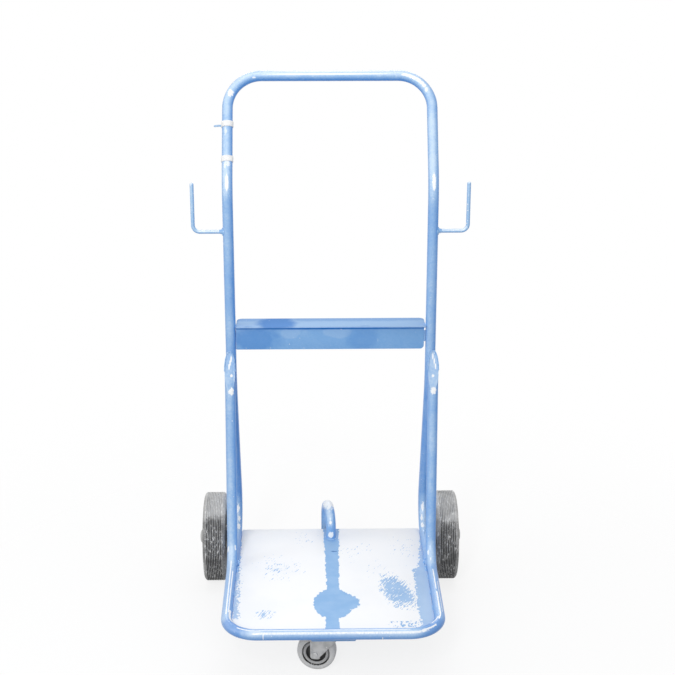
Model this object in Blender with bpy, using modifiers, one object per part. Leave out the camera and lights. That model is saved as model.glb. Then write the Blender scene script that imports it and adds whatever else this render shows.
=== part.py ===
"""Pump cart: a bent-tube hand cart on two wheels and a swivel caster, for a pump and its hose.

Metres, +Z up, front towards -Y. The origin is on the floor under the middle of the cart.
Every piece is one solid. Tubes are solid too, since each tube end is welded shut.
"""

import math

import bmesh
import bpy
from mathutils import Matrix, Vector

# Gaps between pieces: welded or bolted ones, and ones that turn on each other
FIT = 0.0003
RUN = 0.0004

# Stock
TUBE_DIAMETER = 0.022
ROD_DIAMETER = 0.008
AXLE_DIAMETER = 0.020

# Heights above the floor
WHEEL_DIAMETER = 0.200
AXLE_TO_RIM = 0.028
KNEE_HEIGHT = 0.520
SCARF_TOP = 0.587
SCARF_BOTTOM = 0.505
RAIL_TOP = 0.640
HOOK_HEIGHT = 0.844
HANDLE_BEND_HEIGHT = 0.939
HANDLE_HEIGHT = 1.156

# Depths in front of the axle, and the handle's reach behind the uprights
FRONT_DEPTH = 0.501
HOOP_CORNER_DEPTH = 0.180
UPRIGHT_DEPTH = 0.105
PLATE_REAR_DEPTH = 0.027
REAR_CORNER_REACH = 0.033
HANDLE_REACH = 0.115

# Frame tubes: spreads are between tube centres, radii are of the tube's centre line
HANDLE_SPREAD = 0.421
HOOP_SPREAD = 0.428
HOOP_TOP_SPREAD = 0.426
HANDLE_CORNER_RADIUS = 0.070
HANDLE_BEND_RADIUS = 0.150
KNEE_RADIUS = 0.250
REAR_CORNER_RADIUS = 0.070
HOOP_LEAN_RADIUS = 0.250
HOOP_CORNER_RADIUS = 0.060
RIM_CORNER_RADIUS = 0.064
FOOT_LAP = 0.020

# Sheet pieces
PLATE_THICKNESS = 0.002
PLATE_RISE = 0.001
PLATE_CORNER = 0.006
CHANNEL_WIDTH = 0.090
CHANNEL_DEPTH = 0.0214
CHANNEL_THICKNESS = 0.004
RAIL_FACE = 0.051
RAIL_FACE_CORNER = 0.008
RAIL_SHELF = 0.061
RAIL_SHELF_CORNER = 0.012
RAIL_THICKNESS = 0.003
RAIL_FACE_INSET = 0.003
BRACKET_THICKNESS = 0.006
BRACKET_EYE = 0.020
BRACKET_FOOT = 0.034

# Hooks, straps and tipping hoop
HOOK_REACH = 0.072
HOOK_RISE = 0.103
HOOK_RADIUS = 0.014
STRAP_WIDTH = 0.012
STRAP_THICKNESS = 0.0012
STRAP_TAIL = 0.016
STRAP_UPPER_BELOW = 0.1447
STRAP_LOWER_BELOW = 0.2187
TIPPER_FRONT_DEPTH = 0.072
TIPPER_TOP = 0.200
TIPPER_SHIFT = 0.010

# Rear wheels
WHEEL_TRACK = 0.522
TYRE_WIDTH = 0.050
TYRE_SHOULDER = 0.007
TYRE_SIDE = 0.012
TYRE_EDGE_DROP = 0.0035
TYRE_EDGE_INSET = 0.0022
TYRE_GROOVES = 5
GROOVE_DEPTH = 0.0014
GROOVE_WIDTH = 0.0022
RIM_DIAMETER = 0.146
RIM_WALL = 0.006
RIM_WEB = 0.010
RIM_INSET = 0.003
RIM_HOLES = 6
RIM_HOLE_DIAMETER = 0.016
HUB_DIAMETER = 0.050
BUSH_DIAMETER = 0.030
WASHER_DIAMETER = 0.034
WASHER_THICKNESS = 0.0025
AXLE_STUB = 0.005
AXLE_BEVEL = 0.001
CAP_DIAMETER = 0.032
CAP_WALL = 0.0025
CAP_CROWN = 0.0006
CAP_EDGE = 0.003

# Caster
CASTER_DEPTH = 0.405
CASTER_HEADING = math.radians(-10)
CASTER_TRAIL = 0.0335
CASTER_WHEEL_DIAMETER = 0.080
CASTER_TYRE_WIDTH = 0.030
CASTER_TYRE_SIDE = 0.008
CASTER_TYRE_DROP = 0.003
CASTER_TYRE_INSET = 0.0015
CASTER_TYRE_CROWN = 0.0006
CASTER_TREAD_INSET = 0.006
CASTER_SEAT_INSET = 0.001
CASTER_CORE_DIAMETER = 0.060
CASTER_CORE_WALL = 0.004
CASTER_CORE_WEB = 0.010
CASTER_CORE_TAPER = 0.001
CASTER_HUB_DIAMETER = 0.026
CASTER_BUSH_DIAMETER = 0.012
CASTER_BOLT_DIAMETER = 0.008
CASTER_PLATE = (0.086, 0.102)
CASTER_PLATE_THICKNESS = 0.003
CASTER_PLATE_CORNER = 0.008
CASTER_HOLES = (0.060, 0.080)
FORK_INSIDE = 0.036
FORK_THICKNESS = 0.0025
FORK_NOSE = 0.020
FORK_EYE = 0.0105
FORK_NOSE_DROP = 0.010
FORK_CORNER = 0.006
CROWN_LIP = 0.0005
CROWN_REAR = 0.0015
CROWN_NOSE = 0.006
CROWN_NOSE_RADIUS = 0.016
CROWN_CORNER = 0.004
RACE_HEIGHT = 0.0052
RACE_DIAMETER = 0.037
RACE_CLEAR = 0.004
RACE_NECK = 0.002
KINGPIN_DIAMETER = 0.010
KINGPIN_HEAD = (0.020, 0.005)
KINGPIN_BEVEL = 0.002
BOLT_HEAD = (0.0135, 0.0042)
AXLE_BOLT_HEAD = (0.013, 0.004)
NUT_HEIGHT = 0.0055
BOLT_PAST_NUT = 0.002

# How far a cutting tool reaches past what it cuts
CUT_PAST = 0.010

# Mesh fineness
TUBE_SIDES = 14
ROD_SIDES = 10
ROUND_SIDES = 20
WHEEL_SIDES = 32
BEND_STEP = math.radians(13)

# Values that follow from the sizes above
TUBE_RADIUS = TUBE_DIAMETER / 2
AXLE_RADIUS = AXLE_DIAMETER / 2
AXLE_Z = WHEEL_DIAMETER / 2
AXLE_Y = (FRONT_DEPTH - WHEEL_DIAMETER / 2) / 2
RIM_Z = AXLE_Z + AXLE_TO_RIM
FRONT_Y = AXLE_Y - FRONT_DEPTH + TUBE_RADIUS
UPRIGHT_Y = AXLE_Y - UPRIGHT_DEPTH
HOOP_TOP_Y = UPRIGHT_Y - TUBE_DIAMETER - FIT
HOOP_CORNER_Y = AXLE_Y - HOOP_CORNER_DEPTH
REAR_CORNER_Y = AXLE_Y + REAR_CORNER_REACH
HANDLE_Y = UPRIGHT_Y + HANDLE_REACH
HANDLE_Z = HANDLE_HEIGHT - TUBE_RADIUS
PLATE_TOP = RIM_Z + PLATE_RISE
PLATE_BOTTOM = PLATE_TOP - PLATE_THICKNESS
PLATE_REAR_Y = AXLE_Y - PLATE_REAR_DEPTH
CHANNEL_TOP = PLATE_BOTTOM - FIT
CHANNEL_BOTTOM = CHANNEL_TOP - CHANNEL_DEPTH
BRACKET_X = HANDLE_SPREAD / 2
BRACKET_OUTSIDE = BRACKET_X + BRACKET_THICKNESS / 2
WHEEL_INSIDE = WHEEL_TRACK / 2 - TYRE_WIDTH / 2
WHEEL_OUTSIDE = WHEEL_TRACK / 2 + TYRE_WIDTH / 2
WASHER_OUTSIDE = WHEEL_OUTSIDE + RUN + WASHER_THICKNESS
AXLE_END = WASHER_OUTSIDE + AXLE_STUB
CASTER_Y = AXLE_Y - CASTER_DEPTH
CASTER_TOP = CHANNEL_BOTTOM - FIT
CASTER_PLATE_BOTTOM = CASTER_TOP - CASTER_PLATE_THICKNESS
CROWN_TOP = CASTER_PLATE_BOTTOM - RACE_HEIGHT - 2 * FIT
CROWN_BOTTOM = CROWN_TOP - FORK_THICKNESS
CASTER_AXLE_Z = CASTER_WHEEL_DIAMETER / 2
FORK_OUTSIDE = FORK_INSIDE / 2 + FORK_THICKNESS

# Ways round for flat outlines: lying flat, facing along X, and facing the front
FLAT = Matrix.Identity(4)
SIDEWAYS = Matrix(((0, 0, 1, 0), (1, 0, 0, 0), (0, 1, 0, 0), (0, 0, 0, 1)))
FRONTWAYS = Matrix(((1, 0, 0, 0), (0, 0, -1, 0), (0, 1, 0, 0), (0, 0, 0, 1)))


def clear_scene():
    for obj in list(bpy.data.objects):
        bpy.data.objects.remove(obj)


def new_collection(name):
    collection = bpy.data.collections.new(name)
    bpy.context.scene.collection.children.link(collection)
    return collection


def material(name, colour, roughness, metallic=0.0):
    made = bpy.data.materials.new(name)
    made.use_nodes = True
    shader = made.node_tree.nodes["Principled BSDF"]
    shader.inputs["Base Color"].default_value = (*colour, 1)
    shader.inputs["Roughness"].default_value = roughness
    shader.inputs["Metallic"].default_value = metallic
    made.diffuse_color = (*colour, 1)
    return made


clear_scene()
PARTS = new_collection("pump_cart")
CUTTERS = new_collection("cutters")
PAINT = ("painted_metal", (0.19, 0.38, 0.72), 0.45)
STEEL = ("zinc_steel", (0.62, 0.63, 0.65), 0.35, 1.0)
RUBBER = ("rubber", (0.08, 0.08, 0.085), 0.85)
GREY_RUBBER = ("grey_rubber", (0.45, 0.46, 0.47), 0.8)
GREY_PLASTIC = ("grey_plastic", (0.33, 0.34, 0.35), 0.5)
WHITE_PLASTIC = ("white_plastic", (0.85, 0.85, 0.85), 0.6)


def part(obj, finish):
    """Makes an object one node of the cart, with a material of its own."""
    PARTS.objects.link(obj)
    obj.data.materials.clear()
    obj.data.materials.append(material(f"{obj.name}_{finish[0]}", *finish[1:]))
    return obj


def cutter(obj):
    CUTTERS.objects.link(obj)
    obj.hide_render = True
    obj.display_type = "WIRE"
    return obj


def combine(obj, tool, operation):
    if not tool.users_collection:
        cutter(tool)
    boolean = obj.modifiers.new(operation.lower(), "BOOLEAN")
    boolean.operation = operation
    boolean.solver = "EXACT"
    boolean.object = tool
    return obj


def cut(obj, *tools):
    for tool in tools:
        combine(obj, tool, "DIFFERENCE")
    return obj


def joined(obj, *tools):
    for tool in tools:
        combine(obj, tool, "UNION")
    return obj


def bevelled(obj, width):
    bevel = obj.modifiers.new("bevel", "BEVEL")
    bevel.width = width
    bevel.segments = 1
    bevel.limit_method = "ANGLE"
    bevel.angle_limit = math.radians(60)
    return obj


def corner_points(before, corner, after, radius):
    """The points that round one corner of a path."""
    back = (before - corner).normalized()
    ahead = (after - corner).normalized()
    turn = math.pi - back.angle(ahead)
    if radius == 0 or turn < 1e-6:
        return [corner]
    start = corner + back * radius * math.tan(turn / 2)
    middle = corner + (back + ahead).normalized() * radius / math.cos(turn / 2)
    steps = max(2, math.ceil(turn / BEND_STEP))
    axis = ahead.cross(back)
    turns = [Matrix.Rotation(turn * i / steps, 3, axis) for i in range(steps + 1)]
    return [middle + spin @ (start - middle) for spin in turns]


def open_path(corners):
    """A path through (point, radius) corners. The two ends aren't rounded."""
    places = [Vector(place) for place, _ in corners]
    path = [places[0]]
    for i in range(1, len(places) - 1):
        path += corner_points(places[i - 1], places[i], places[i + 1], corners[i][1])
    return path + [places[-1]]


def outline(corners):
    """A closed flat outline through (u, v, radius) corners."""
    places = [Vector((u, v, 0)) for u, v, _ in corners]
    path = []
    for i, (_, _, radius) in enumerate(corners):
        path += corner_points(places[i - 1], places[i], places[(i + 1) % len(places)], radius)
    return path


def rectangle(left, right, low, high, radius):
    return outline([(left, low, radius), (right, low, radius), (right, high, radius), (left, high, radius)])


def solid_from_curve(name, curve):
    """The curve as a closed mesh, so that Booleans can use it."""
    guide = bpy.data.objects.new(name + "_guide", curve)
    bpy.context.scene.collection.objects.link(guide)
    bpy.context.view_layer.update()
    mesh = bpy.data.meshes.new_from_object(guide.evaluated_get(bpy.context.evaluated_depsgraph_get()))
    bpy.data.objects.remove(guide)
    bpy.data.curves.remove(curve)
    work = bmesh.new()
    work.from_mesh(mesh)
    bmesh.ops.remove_doubles(work, verts=work.verts, dist=1e-6)
    bmesh.ops.recalc_face_normals(work, faces=work.faces)
    work.to_mesh(mesh)
    work.free()
    mesh.name = name
    return bpy.data.objects.new(name, mesh)


def new_spline(curve, path):
    spline = curve.splines.new("POLY")
    spline.points.add(len(path) - 1)
    for point, place in zip(spline.points, path):
        point.co = (*place, 1)
    return spline


def tube(name, path, diameter, sides=TUBE_SIDES):
    curve = bpy.data.curves.new(name, "CURVE")
    curve.dimensions = "3D"
    curve.bevel_depth = diameter / 2
    curve.bevel_resolution = sides // 2 - 2
    curve.use_fill_caps = True
    new_spline(curve, path)
    obj = solid_from_curve(name, curve)
    obj.data.shade_smooth()
    return obj


def plate(name, path, thickness, way, place):
    """A sheet with this outline, its middle plane through place."""
    curve = bpy.data.curves.new(name, "CURVE")
    curve.dimensions = "2D"
    curve.fill_mode = "BOTH"
    curve.extrude = thickness / 2
    new_spline(curve, path).use_cyclic_u = True
    obj = solid_from_curve(name, curve)
    obj.matrix_world = Matrix.Translation(place) @ way
    return obj


def bar(name, diameter, start, end, sides=ROUND_SIDES):
    """A round bar between two points, or a hexagonal one with six sides."""
    run = Vector(end) - Vector(start)
    mesh = bpy.data.meshes.new(name)
    work = bmesh.new()
    bmesh.ops.create_cone(
        work,
        cap_ends=True,
        segments=sides,
        radius1=diameter / 2,
        radius2=diameter / 2,
        depth=run.length,
    )
    work.to_mesh(mesh)
    work.free()
    obj = bpy.data.objects.new(name, mesh)
    turn = run.to_track_quat("Z", "Y").to_matrix().to_4x4()
    obj.matrix_world = Matrix.Translation((Vector(start) + Vector(end)) / 2) @ turn
    return obj


def turned(name, profile, place, way, sides=ROUND_SIDES):
    """A profile of (radius, height) points turned about its own Z, running down its outer side first."""
    mesh = bpy.data.meshes.new(name)
    on_axis = profile[0][0] == 0
    edges = [(i, i + 1) for i in range(len(profile) - 1)]
    if not on_axis:
        edges.append((len(profile) - 1, 0))
    mesh.from_pydata([(radius, 0, height) for radius, height in profile], edges, [])
    obj = bpy.data.objects.new(name, mesh)
    screw = obj.modifiers.new("turn", "SCREW")
    screw.steps = sides
    screw.render_steps = sides
    screw.use_merge_vertices = True
    screw.merge_threshold = 1e-6
    screw.use_smooth_shade = False
    obj.matrix_world = Matrix.Translation(place) @ way
    return obj


def ring(inner, outer, low, high):
    """The profile of a plain ring with these radii."""
    return [(outer, high), (outer, low), (inner, low), (inner, high)]


def bore(radius, sides=ROUND_SIDES):
    """The corner radius of a round hole whose flats are this far out."""
    return radius / math.cos(math.pi / sides)


def handle_path():
    """From the left foot up over the handle bar and down to the right foot."""
    foot_y = HOOP_CORNER_Y - FOOT_LAP

    def side(x):
        return [
            ((x, foot_y, RIM_Z), 0),
            ((x, REAR_CORNER_Y, RIM_Z), REAR_CORNER_RADIUS),
            ((x, UPRIGHT_Y, KNEE_HEIGHT), KNEE_RADIUS),
            ((x, UPRIGHT_Y, HANDLE_BEND_HEIGHT), HANDLE_BEND_RADIUS),
            ((x, HANDLE_Y, HANDLE_Z), HANDLE_CORNER_RADIUS),
        ]

    return open_path(side(-HANDLE_SPREAD / 2) + side(HANDLE_SPREAD / 2)[::-1])


def hoop_path():
    """From the left scarf down, round the platform rim and up to the right scarf."""

    def half(side):
        top = side * HOOP_TOP_SPREAD / 2
        low = side * HOOP_SPREAD / 2
        return [
            ((top, HOOP_TOP_Y, SCARF_TOP + TUBE_DIAMETER), 0),
            ((top, HOOP_TOP_Y, SCARF_BOTTOM), HOOP_LEAN_RADIUS),
            ((low, HOOP_CORNER_Y, RIM_Z), HOOP_CORNER_RADIUS),
            ((low, FRONT_Y, RIM_Z), RIM_CORNER_RADIUS),
        ]

    return open_path(half(-1) + half(1)[::-1])


def scarf_cutter():
    """A block above the slanting cut that ends both hoop uprights against the handle frame."""
    front, back = HOOP_TOP_Y - TUBE_RADIUS, HOOP_TOP_Y + TUBE_RADIUS
    rise = (SCARF_TOP - SCARF_BOTTOM) / TUBE_DIAMETER
    past = TUBE_DIAMETER
    profile = [
        (front - past, SCARF_BOTTOM - past * rise),
        (back + past, SCARF_TOP + past * rise),
        (front - past, SCARF_TOP + past * rise),
    ]
    path = [Vector((y, z, 0)) for y, z in profile]
    return plate("scarf_cut", path, 2 * HOOP_SPREAD, SIDEWAYS, (0, 0, 0))


def build_frame():
    """The two bent tubes. Returns a slightly fatter copy of each, to fit other pieces to."""
    handle_space = cutter(tube("handle_space", handle_path(), TUBE_DIAMETER + 2 * FIT))
    hoop_space = cutter(tube("hoop_space", hoop_path(), TUBE_DIAMETER + 2 * FIT))
    handle = part(tube("handle_frame", handle_path(), TUBE_DIAMETER), PAINT)
    cut(handle, hoop_space)
    hoop = part(tube("platform_hoop", hoop_path(), TUBE_DIAMETER), PAINT)
    cut(hoop, scarf_cutter())
    return handle_space, hoop_space


def build_plate(hoop_space):
    """The sheet inside the rim. It is narrower where the tubes rise, so that nothing overhangs it."""
    rise = corner_points(
        Vector((FRONT_Y, RIM_Z, 0)),
        Vector((HOOP_CORNER_Y, RIM_Z, 0)),
        Vector((HOOP_TOP_Y, SCARF_BOTTOM, 0)),
        HOOP_CORNER_RADIUS,
    )
    step_y = rise[0].x
    wide = HOOP_SPREAD / 2
    narrow = HANDLE_SPREAD / 2 - TUBE_RADIUS - FIT
    right = [
        (wide, FRONT_Y, RIM_CORNER_RADIUS),
        (wide, step_y, 0),
        (narrow, step_y, 0),
        (narrow, PLATE_REAR_Y, PLATE_CORNER),
    ]
    left = [(-x, y, radius) for x, y, radius in reversed(right)]
    place = (0, 0, (PLATE_TOP + PLATE_BOTTOM) / 2)
    sheet = part(plate("platform_plate", outline(right + left), PLATE_THICKNESS, FLAT, place), PAINT)
    cut(sheet, hoop_space)


def caster_hole_places():
    across, along = CASTER_HOLES
    return [(x * across / 2, CASTER_Y + y * along / 2) for x in (-1, 1) for y in (-1, 1)]


def build_channel():
    """A shallow channel under the plate, open side up, with the caster bolted to its web."""
    front = FRONT_Y + TUBE_RADIUS + FIT
    rear = AXLE_Y - AXLE_RADIUS - TUBE_DIAMETER
    half = CHANNEL_WIDTH / 2
    web_top = CHANNEL_BOTTOM + CHANNEL_THICKNESS
    inner = half - CHANNEL_THICKNESS
    section = [
        (-half, CHANNEL_BOTTOM, CHANNEL_THICKNESS),
        (half, CHANNEL_BOTTOM, CHANNEL_THICKNESS),
        (half, CHANNEL_TOP, 0),
        (inner, CHANNEL_TOP, 0),
        (inner, web_top, 0),
        (-inner, web_top, 0),
        (-inner, CHANNEL_TOP, 0),
        (-half, CHANNEL_TOP, 0),
    ]
    place = (0, (front + rear) / 2, 0)
    channel = part(plate("caster_channel", outline(section), rear - front, FRONTWAYS, place), PAINT)
    hole = bore(CASTER_BOLT_DIAMETER / 2 + FIT) * 2
    for i, (x, y) in enumerate(caster_hole_places()):
        low, high = (x, y, CHANNEL_BOTTOM - CUT_PAST), (x, y, CHANNEL_TOP + CUT_PAST)
        cut(channel, bar(f"channel_hole_{i}", hole, low, high))


def build_cross_rail():
    """A folded angle between the uprights, its face flush with their fronts."""
    half = HANDLE_SPREAD / 2 - TUBE_RADIUS - FIT
    front = UPRIGHT_Y - TUBE_RADIUS
    middle_z = RAIL_TOP - RAIL_THICKNESS / 2
    shelf_path = outline(
        [
            (-half, front + RAIL_THICKNESS / 2, 0),
            (half, front + RAIL_THICKNESS / 2, 0),
            (half, front + RAIL_SHELF, RAIL_SHELF_CORNER),
            (-half, front + RAIL_SHELF, RAIL_SHELF_CORNER),
        ]
    )
    shelf = plate("cross_rail", shelf_path, RAIL_THICKNESS, FLAT, (0, 0, middle_z))
    wide = half - RAIL_FACE_INSET
    low = RAIL_TOP - RAIL_FACE
    face_path = outline(
        [
            (-wide, low, RAIL_FACE_CORNER),
            (wide, low, RAIL_FACE_CORNER),
            (wide, RAIL_TOP, 0),
            (-wide, RAIL_TOP, 0),
        ]
    )
    face = plate("rail_face", face_path, RAIL_THICKNESS, FRONTWAYS, (0, front + RAIL_THICKNESS / 2, 0))
    joined(part(shelf, PAINT), face)


def build_hook(name, side, handle_space):
    """A J of round rod on one upright, its end shaped to the tube."""
    x = side * HANDLE_SPREAD / 2
    out = x + side * HOOK_REACH
    corners = [
        ((x + side * TUBE_RADIUS / 2, UPRIGHT_Y, HOOK_HEIGHT), 0),
        ((out, UPRIGHT_Y, HOOK_HEIGHT), HOOK_RADIUS),
        ((out, UPRIGHT_Y, HOOK_HEIGHT + HOOK_RISE), 0),
    ]
    hook = part(tube(name, open_path(corners), ROD_DIAMETER, ROD_SIDES), PAINT)
    cut(hook, handle_space)


def below_handle(near, far):
    """The left leg's centre line between two distances below the handle bar, along the tube."""
    places = handle_path()
    places = places[: len(places) // 2][::-1]
    run, gone = [], 0
    for start, end in zip(places, places[1:]):
        length = (end - start).length
        if gone <= near < gone + length:
            run = [start.lerp(end, (near - gone) / length)]
        if near < gone + length < far:
            run.append(end)
        if gone < far <= gone + length:
            run.append(start.lerp(end, (far - gone) / length))
        gone += length
    return run


def build_strap(name, below, handle_space):
    """A band round the left leg, which follows the tube's bends."""
    run = below_handle(below - STRAP_WIDTH / 2, below + STRAP_WIDTH / 2)
    band = part(tube(name, run, TUBE_DIAMETER + 2 * (FIT + STRAP_THICKNESS)), WHITE_PLASTIC)
    return cut(band, handle_space), run


def build_straps(handle_space):
    """Two bands, the upper one with a loose tail that points outwards."""
    build_strap("cable_strap_lower", STRAP_LOWER_BELOW, handle_space)
    upper, run = build_strap("cable_strap_upper", STRAP_UPPER_BELOW, handle_space)
    across = Vector((1, 0, 0))
    along = (run[0] - run[-1]).normalized()
    way = Matrix((across, along, across.cross(along))).transposed().to_4x4()
    half = STRAP_WIDTH / 2 - FIT
    start = -TUBE_RADIUS - FIT - STRAP_THICKNESS / 2
    path = rectangle(start - STRAP_TAIL, start, -half, half, 0)
    joined(upper, plate("strap_tail", path, STRAP_THICKNESS, way, (run[0] + run[-1]) / 2))


def build_tipping_hoop():
    """A small arch from the plate to the axle, which a foot presses to tip the cart."""
    front_y = AXLE_Y - TIPPER_FRONT_DEPTH
    top_z = TIPPER_TOP - TUBE_RADIUS
    radius = TIPPER_FRONT_DEPTH / 2 - RUN
    corners = [
        ((0, front_y, PLATE_TOP + FIT), 0),
        ((0, front_y, top_z), radius),
        ((-TIPPER_SHIFT, AXLE_Y, top_z), radius),
        ((-TIPPER_SHIFT, AXLE_Y, AXLE_Z + AXLE_RADIUS / 2), 0),
    ]
    hoop = part(tube("tipping_hoop", open_path(corners), TUBE_DIAMETER), PAINT)
    reach = TIPPER_SHIFT + TUBE_DIAMETER
    ends = [(x, AXLE_Y, AXLE_Z) for x in (-reach, reach)]
    cut(hoop, bar("axle_space", bore(AXLE_RADIUS + FIT) * 2, *ends))


def bracket_path():
    """A gusset whose upper edge lies inside the rear bend and whose lower end goes round the axle."""
    bend = corner_points(
        Vector((HOOP_CORNER_Y, RIM_Z, 0)),
        Vector((REAR_CORNER_Y, RIM_Z, 0)),
        Vector((UPRIGHT_Y, KNEE_HEIGHT, 0)),
        REAR_CORNER_RADIUS,
    )
    upper = [Vector((bend[0].x - BRACKET_FOOT, RIM_Z, 0))] + bend[:-3]
    turns = [math.radians(20 - 15 * i) for i in range(9)]
    eye = [Vector((AXLE_Y + BRACKET_EYE * math.cos(a), AXLE_Z + BRACKET_EYE * math.sin(a), 0)) for a in turns]
    return upper + eye


def build_brackets(handle_space):
    hole = bar(
        "bracket_hole",
        bore(AXLE_RADIUS + FIT) * 2,
        (-HANDLE_SPREAD, AXLE_Y, AXLE_Z),
        (HANDLE_SPREAD, AXLE_Y, AXLE_Z),
    )
    for name, side in (("axle_bracket_left", -1), ("axle_bracket_right", 1)):
        sheet = plate(name, bracket_path(), BRACKET_THICKNESS, SIDEWAYS, (side * BRACKET_X, 0, 0))
        cut(part(sheet, PAINT), handle_space, hole)


def outwards(side):
    """Turns a piece built along +Z so that it points out along the axle on one side."""
    return Matrix.Rotation(side * math.pi / 2, 4, "Y")


def tyre_profile():
    """A solid tyre with rounded shoulders and ribs between fine grooves."""
    half = TYRE_WIDTH / 2
    outer = WHEEL_DIAMETER / 2
    inner = bore(RIM_DIAMETER / 2 + FIT, WHEEL_SIDES)
    tread = TYRE_WIDTH - 2 * TYRE_SHOULDER
    shoulder = [
        (outer - TYRE_SIDE, half),
        (outer - TYRE_EDGE_DROP, half - TYRE_EDGE_INSET),
        (outer, half - TYRE_SHOULDER),
    ]
    profile = list(shoulder)
    for i in range(TYRE_GROOVES):
        z = tread / 2 - tread * (i + 0.5) / TYRE_GROOVES
        profile += [
            (outer, z + GROOVE_WIDTH / 2),
            (outer - GROOVE_DEPTH, z),
            (outer, z - GROOVE_WIDTH / 2),
        ]
    profile += [(radius, -z) for radius, z in reversed(shoulder)]
    return profile + [(inner, RIM_INSET - half), (inner, half - RIM_INSET)]


def rim_profile():
    """A rim band and a hub tube on one web."""
    outer = RIM_DIAMETER / 2
    half = TYRE_WIDTH / 2 - RIM_INSET
    inner = bore(BUSH_DIAMETER / 2 + FIT)
    hub = HUB_DIAMETER / 2
    hub_half = TYRE_WIDTH / 2 - FIT
    band = outer - RIM_WALL
    web = RIM_WEB / 2
    upper = [(band, half), (band, web), (hub, web), (hub, hub_half), (inner, hub_half)]
    lower = [(radius, -z) for radius, z in upper]
    return [(outer, half), (outer, -half)] + lower + upper[::-1]


def build_wheel(tag, side):
    centre = Vector((side * WHEEL_TRACK / 2, AXLE_Y, AXLE_Z))
    way = outwards(side)
    part(turned(f"tyre_{tag}", tyre_profile(), centre, way, WHEEL_SIDES), RUBBER)
    rim = part(turned(f"wheel_rim_{tag}", rim_profile(), centre, way, WHEEL_SIDES), GREY_PLASTIC)
    circle = (RIM_DIAMETER / 2 - RIM_WALL + HUB_DIAMETER / 2) / 2
    for i in range(RIM_HOLES):
        angle = 2 * math.pi * i / RIM_HOLES
        spot = centre + Vector((0, math.cos(angle), math.sin(angle))) * circle
        reach = Vector((RIM_WEB, 0, 0))
        cut(rim, bar(f"rim_hole_{tag}_{i}", RIM_HOLE_DIAMETER, spot - reach, spot + reach, 12))
    bush = ring(bore(AXLE_RADIUS + RUN), BUSH_DIAMETER / 2, FIT - TYRE_WIDTH / 2, TYRE_WIDTH / 2 - FIT)
    part(turned(f"wheel_bush_{tag}", bush, centre, way), STEEL)


def build_axle():
    axle = bar("axle", AXLE_DIAMETER, (-AXLE_END, AXLE_Y, AXLE_Z), (AXLE_END, AXLE_Y, AXLE_Z))
    part(bevelled(axle, AXLE_BEVEL), STEEL)
    clear = bore(AXLE_RADIUS + FIT)
    washer = ring(clear, WASHER_DIAMETER / 2, WHEEL_OUTSIDE + RUN, WASHER_OUTSIDE)
    spacer = ring(clear, BUSH_DIAMETER / 2, BRACKET_OUTSIDE + FIT, WHEEL_INSIDE - RUN)
    low = WASHER_OUTSIDE + FIT
    tip = AXLE_END + FIT
    edge = CAP_DIAMETER / 2
    cap = [
        (0, tip + CAP_WALL),
        (edge * 0.55, tip + CAP_WALL - CAP_CROWN),
        (edge * 0.85, tip),
        (edge, tip - CAP_EDGE),
        (edge, low),
        (clear, low),
        (clear, tip),
        (0, tip),
    ]
    centre = (0, AXLE_Y, AXLE_Z)
    for tag, side in (("left", -1), ("right", 1)):
        part(turned(f"axle_spacer_{tag}", spacer, centre, outwards(side)), STEEL)
        part(turned(f"axle_washer_{tag}", washer, centre, outwards(side)), STEEL)
        part(turned(f"hub_cap_{tag}", cap, centre, outwards(side)), GREY_PLASTIC)


def caster_frame():
    """Placed on the swivel axis and turned to the caster's heading: the wheel trails towards its -X."""
    return Matrix.Translation((0, CASTER_Y, 0)) @ Matrix.Rotation(CASTER_HEADING, 4, "Z")


def placed(obj, matrix):
    obj.matrix_world = matrix @ obj.matrix_world
    return obj


def build_caster_mount():
    """The top plate with its four bolts and nuts, the kingpin and the race."""
    half_x, half_y = CASTER_PLATE[0] / 2, CASTER_PLATE[1] / 2
    path = rectangle(-half_x, half_x, CASTER_Y - half_y, CASTER_Y + half_y, CASTER_PLATE_CORNER)
    place = (0, 0, (CASTER_TOP + CASTER_PLATE_BOTTOM) / 2)
    top = part(plate("caster_top_plate", path, CASTER_PLATE_THICKNESS, FLAT, place), STEEL)
    low, high = CASTER_PLATE_BOTTOM - CUT_PAST, CASTER_TOP + CUT_PAST
    hole = bore(CASTER_BOLT_DIAMETER / 2 + FIT) * 2
    for i, (x, y) in enumerate(caster_hole_places(), 1):
        cut(top, bar(f"caster_plate_hole_{i}", hole, (x, y, low), (x, y, high)))
        build_caster_bolt(i, x, y, hole)
    pin_hole = bore(KINGPIN_DIAMETER / 2 + FIT) * 2
    cut(top, bar("pin_hole", pin_hole, (0, CASTER_Y, low), (0, CASTER_Y, high)))
    build_kingpin()
    inner = bore(KINGPIN_DIAMETER / 2 + RUN) + RACE_CLEAR
    race = ring(inner, RACE_DIAMETER / 2, CROWN_TOP + FIT, CASTER_PLATE_BOTTOM - FIT)
    race[1:1] = [(RACE_DIAMETER / 2 - RACE_NECK, (race[0][1] + race[1][1]) / 2)]
    part(turned("caster_race", race, (0, CASTER_Y, 0), FLAT), STEEL)


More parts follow.
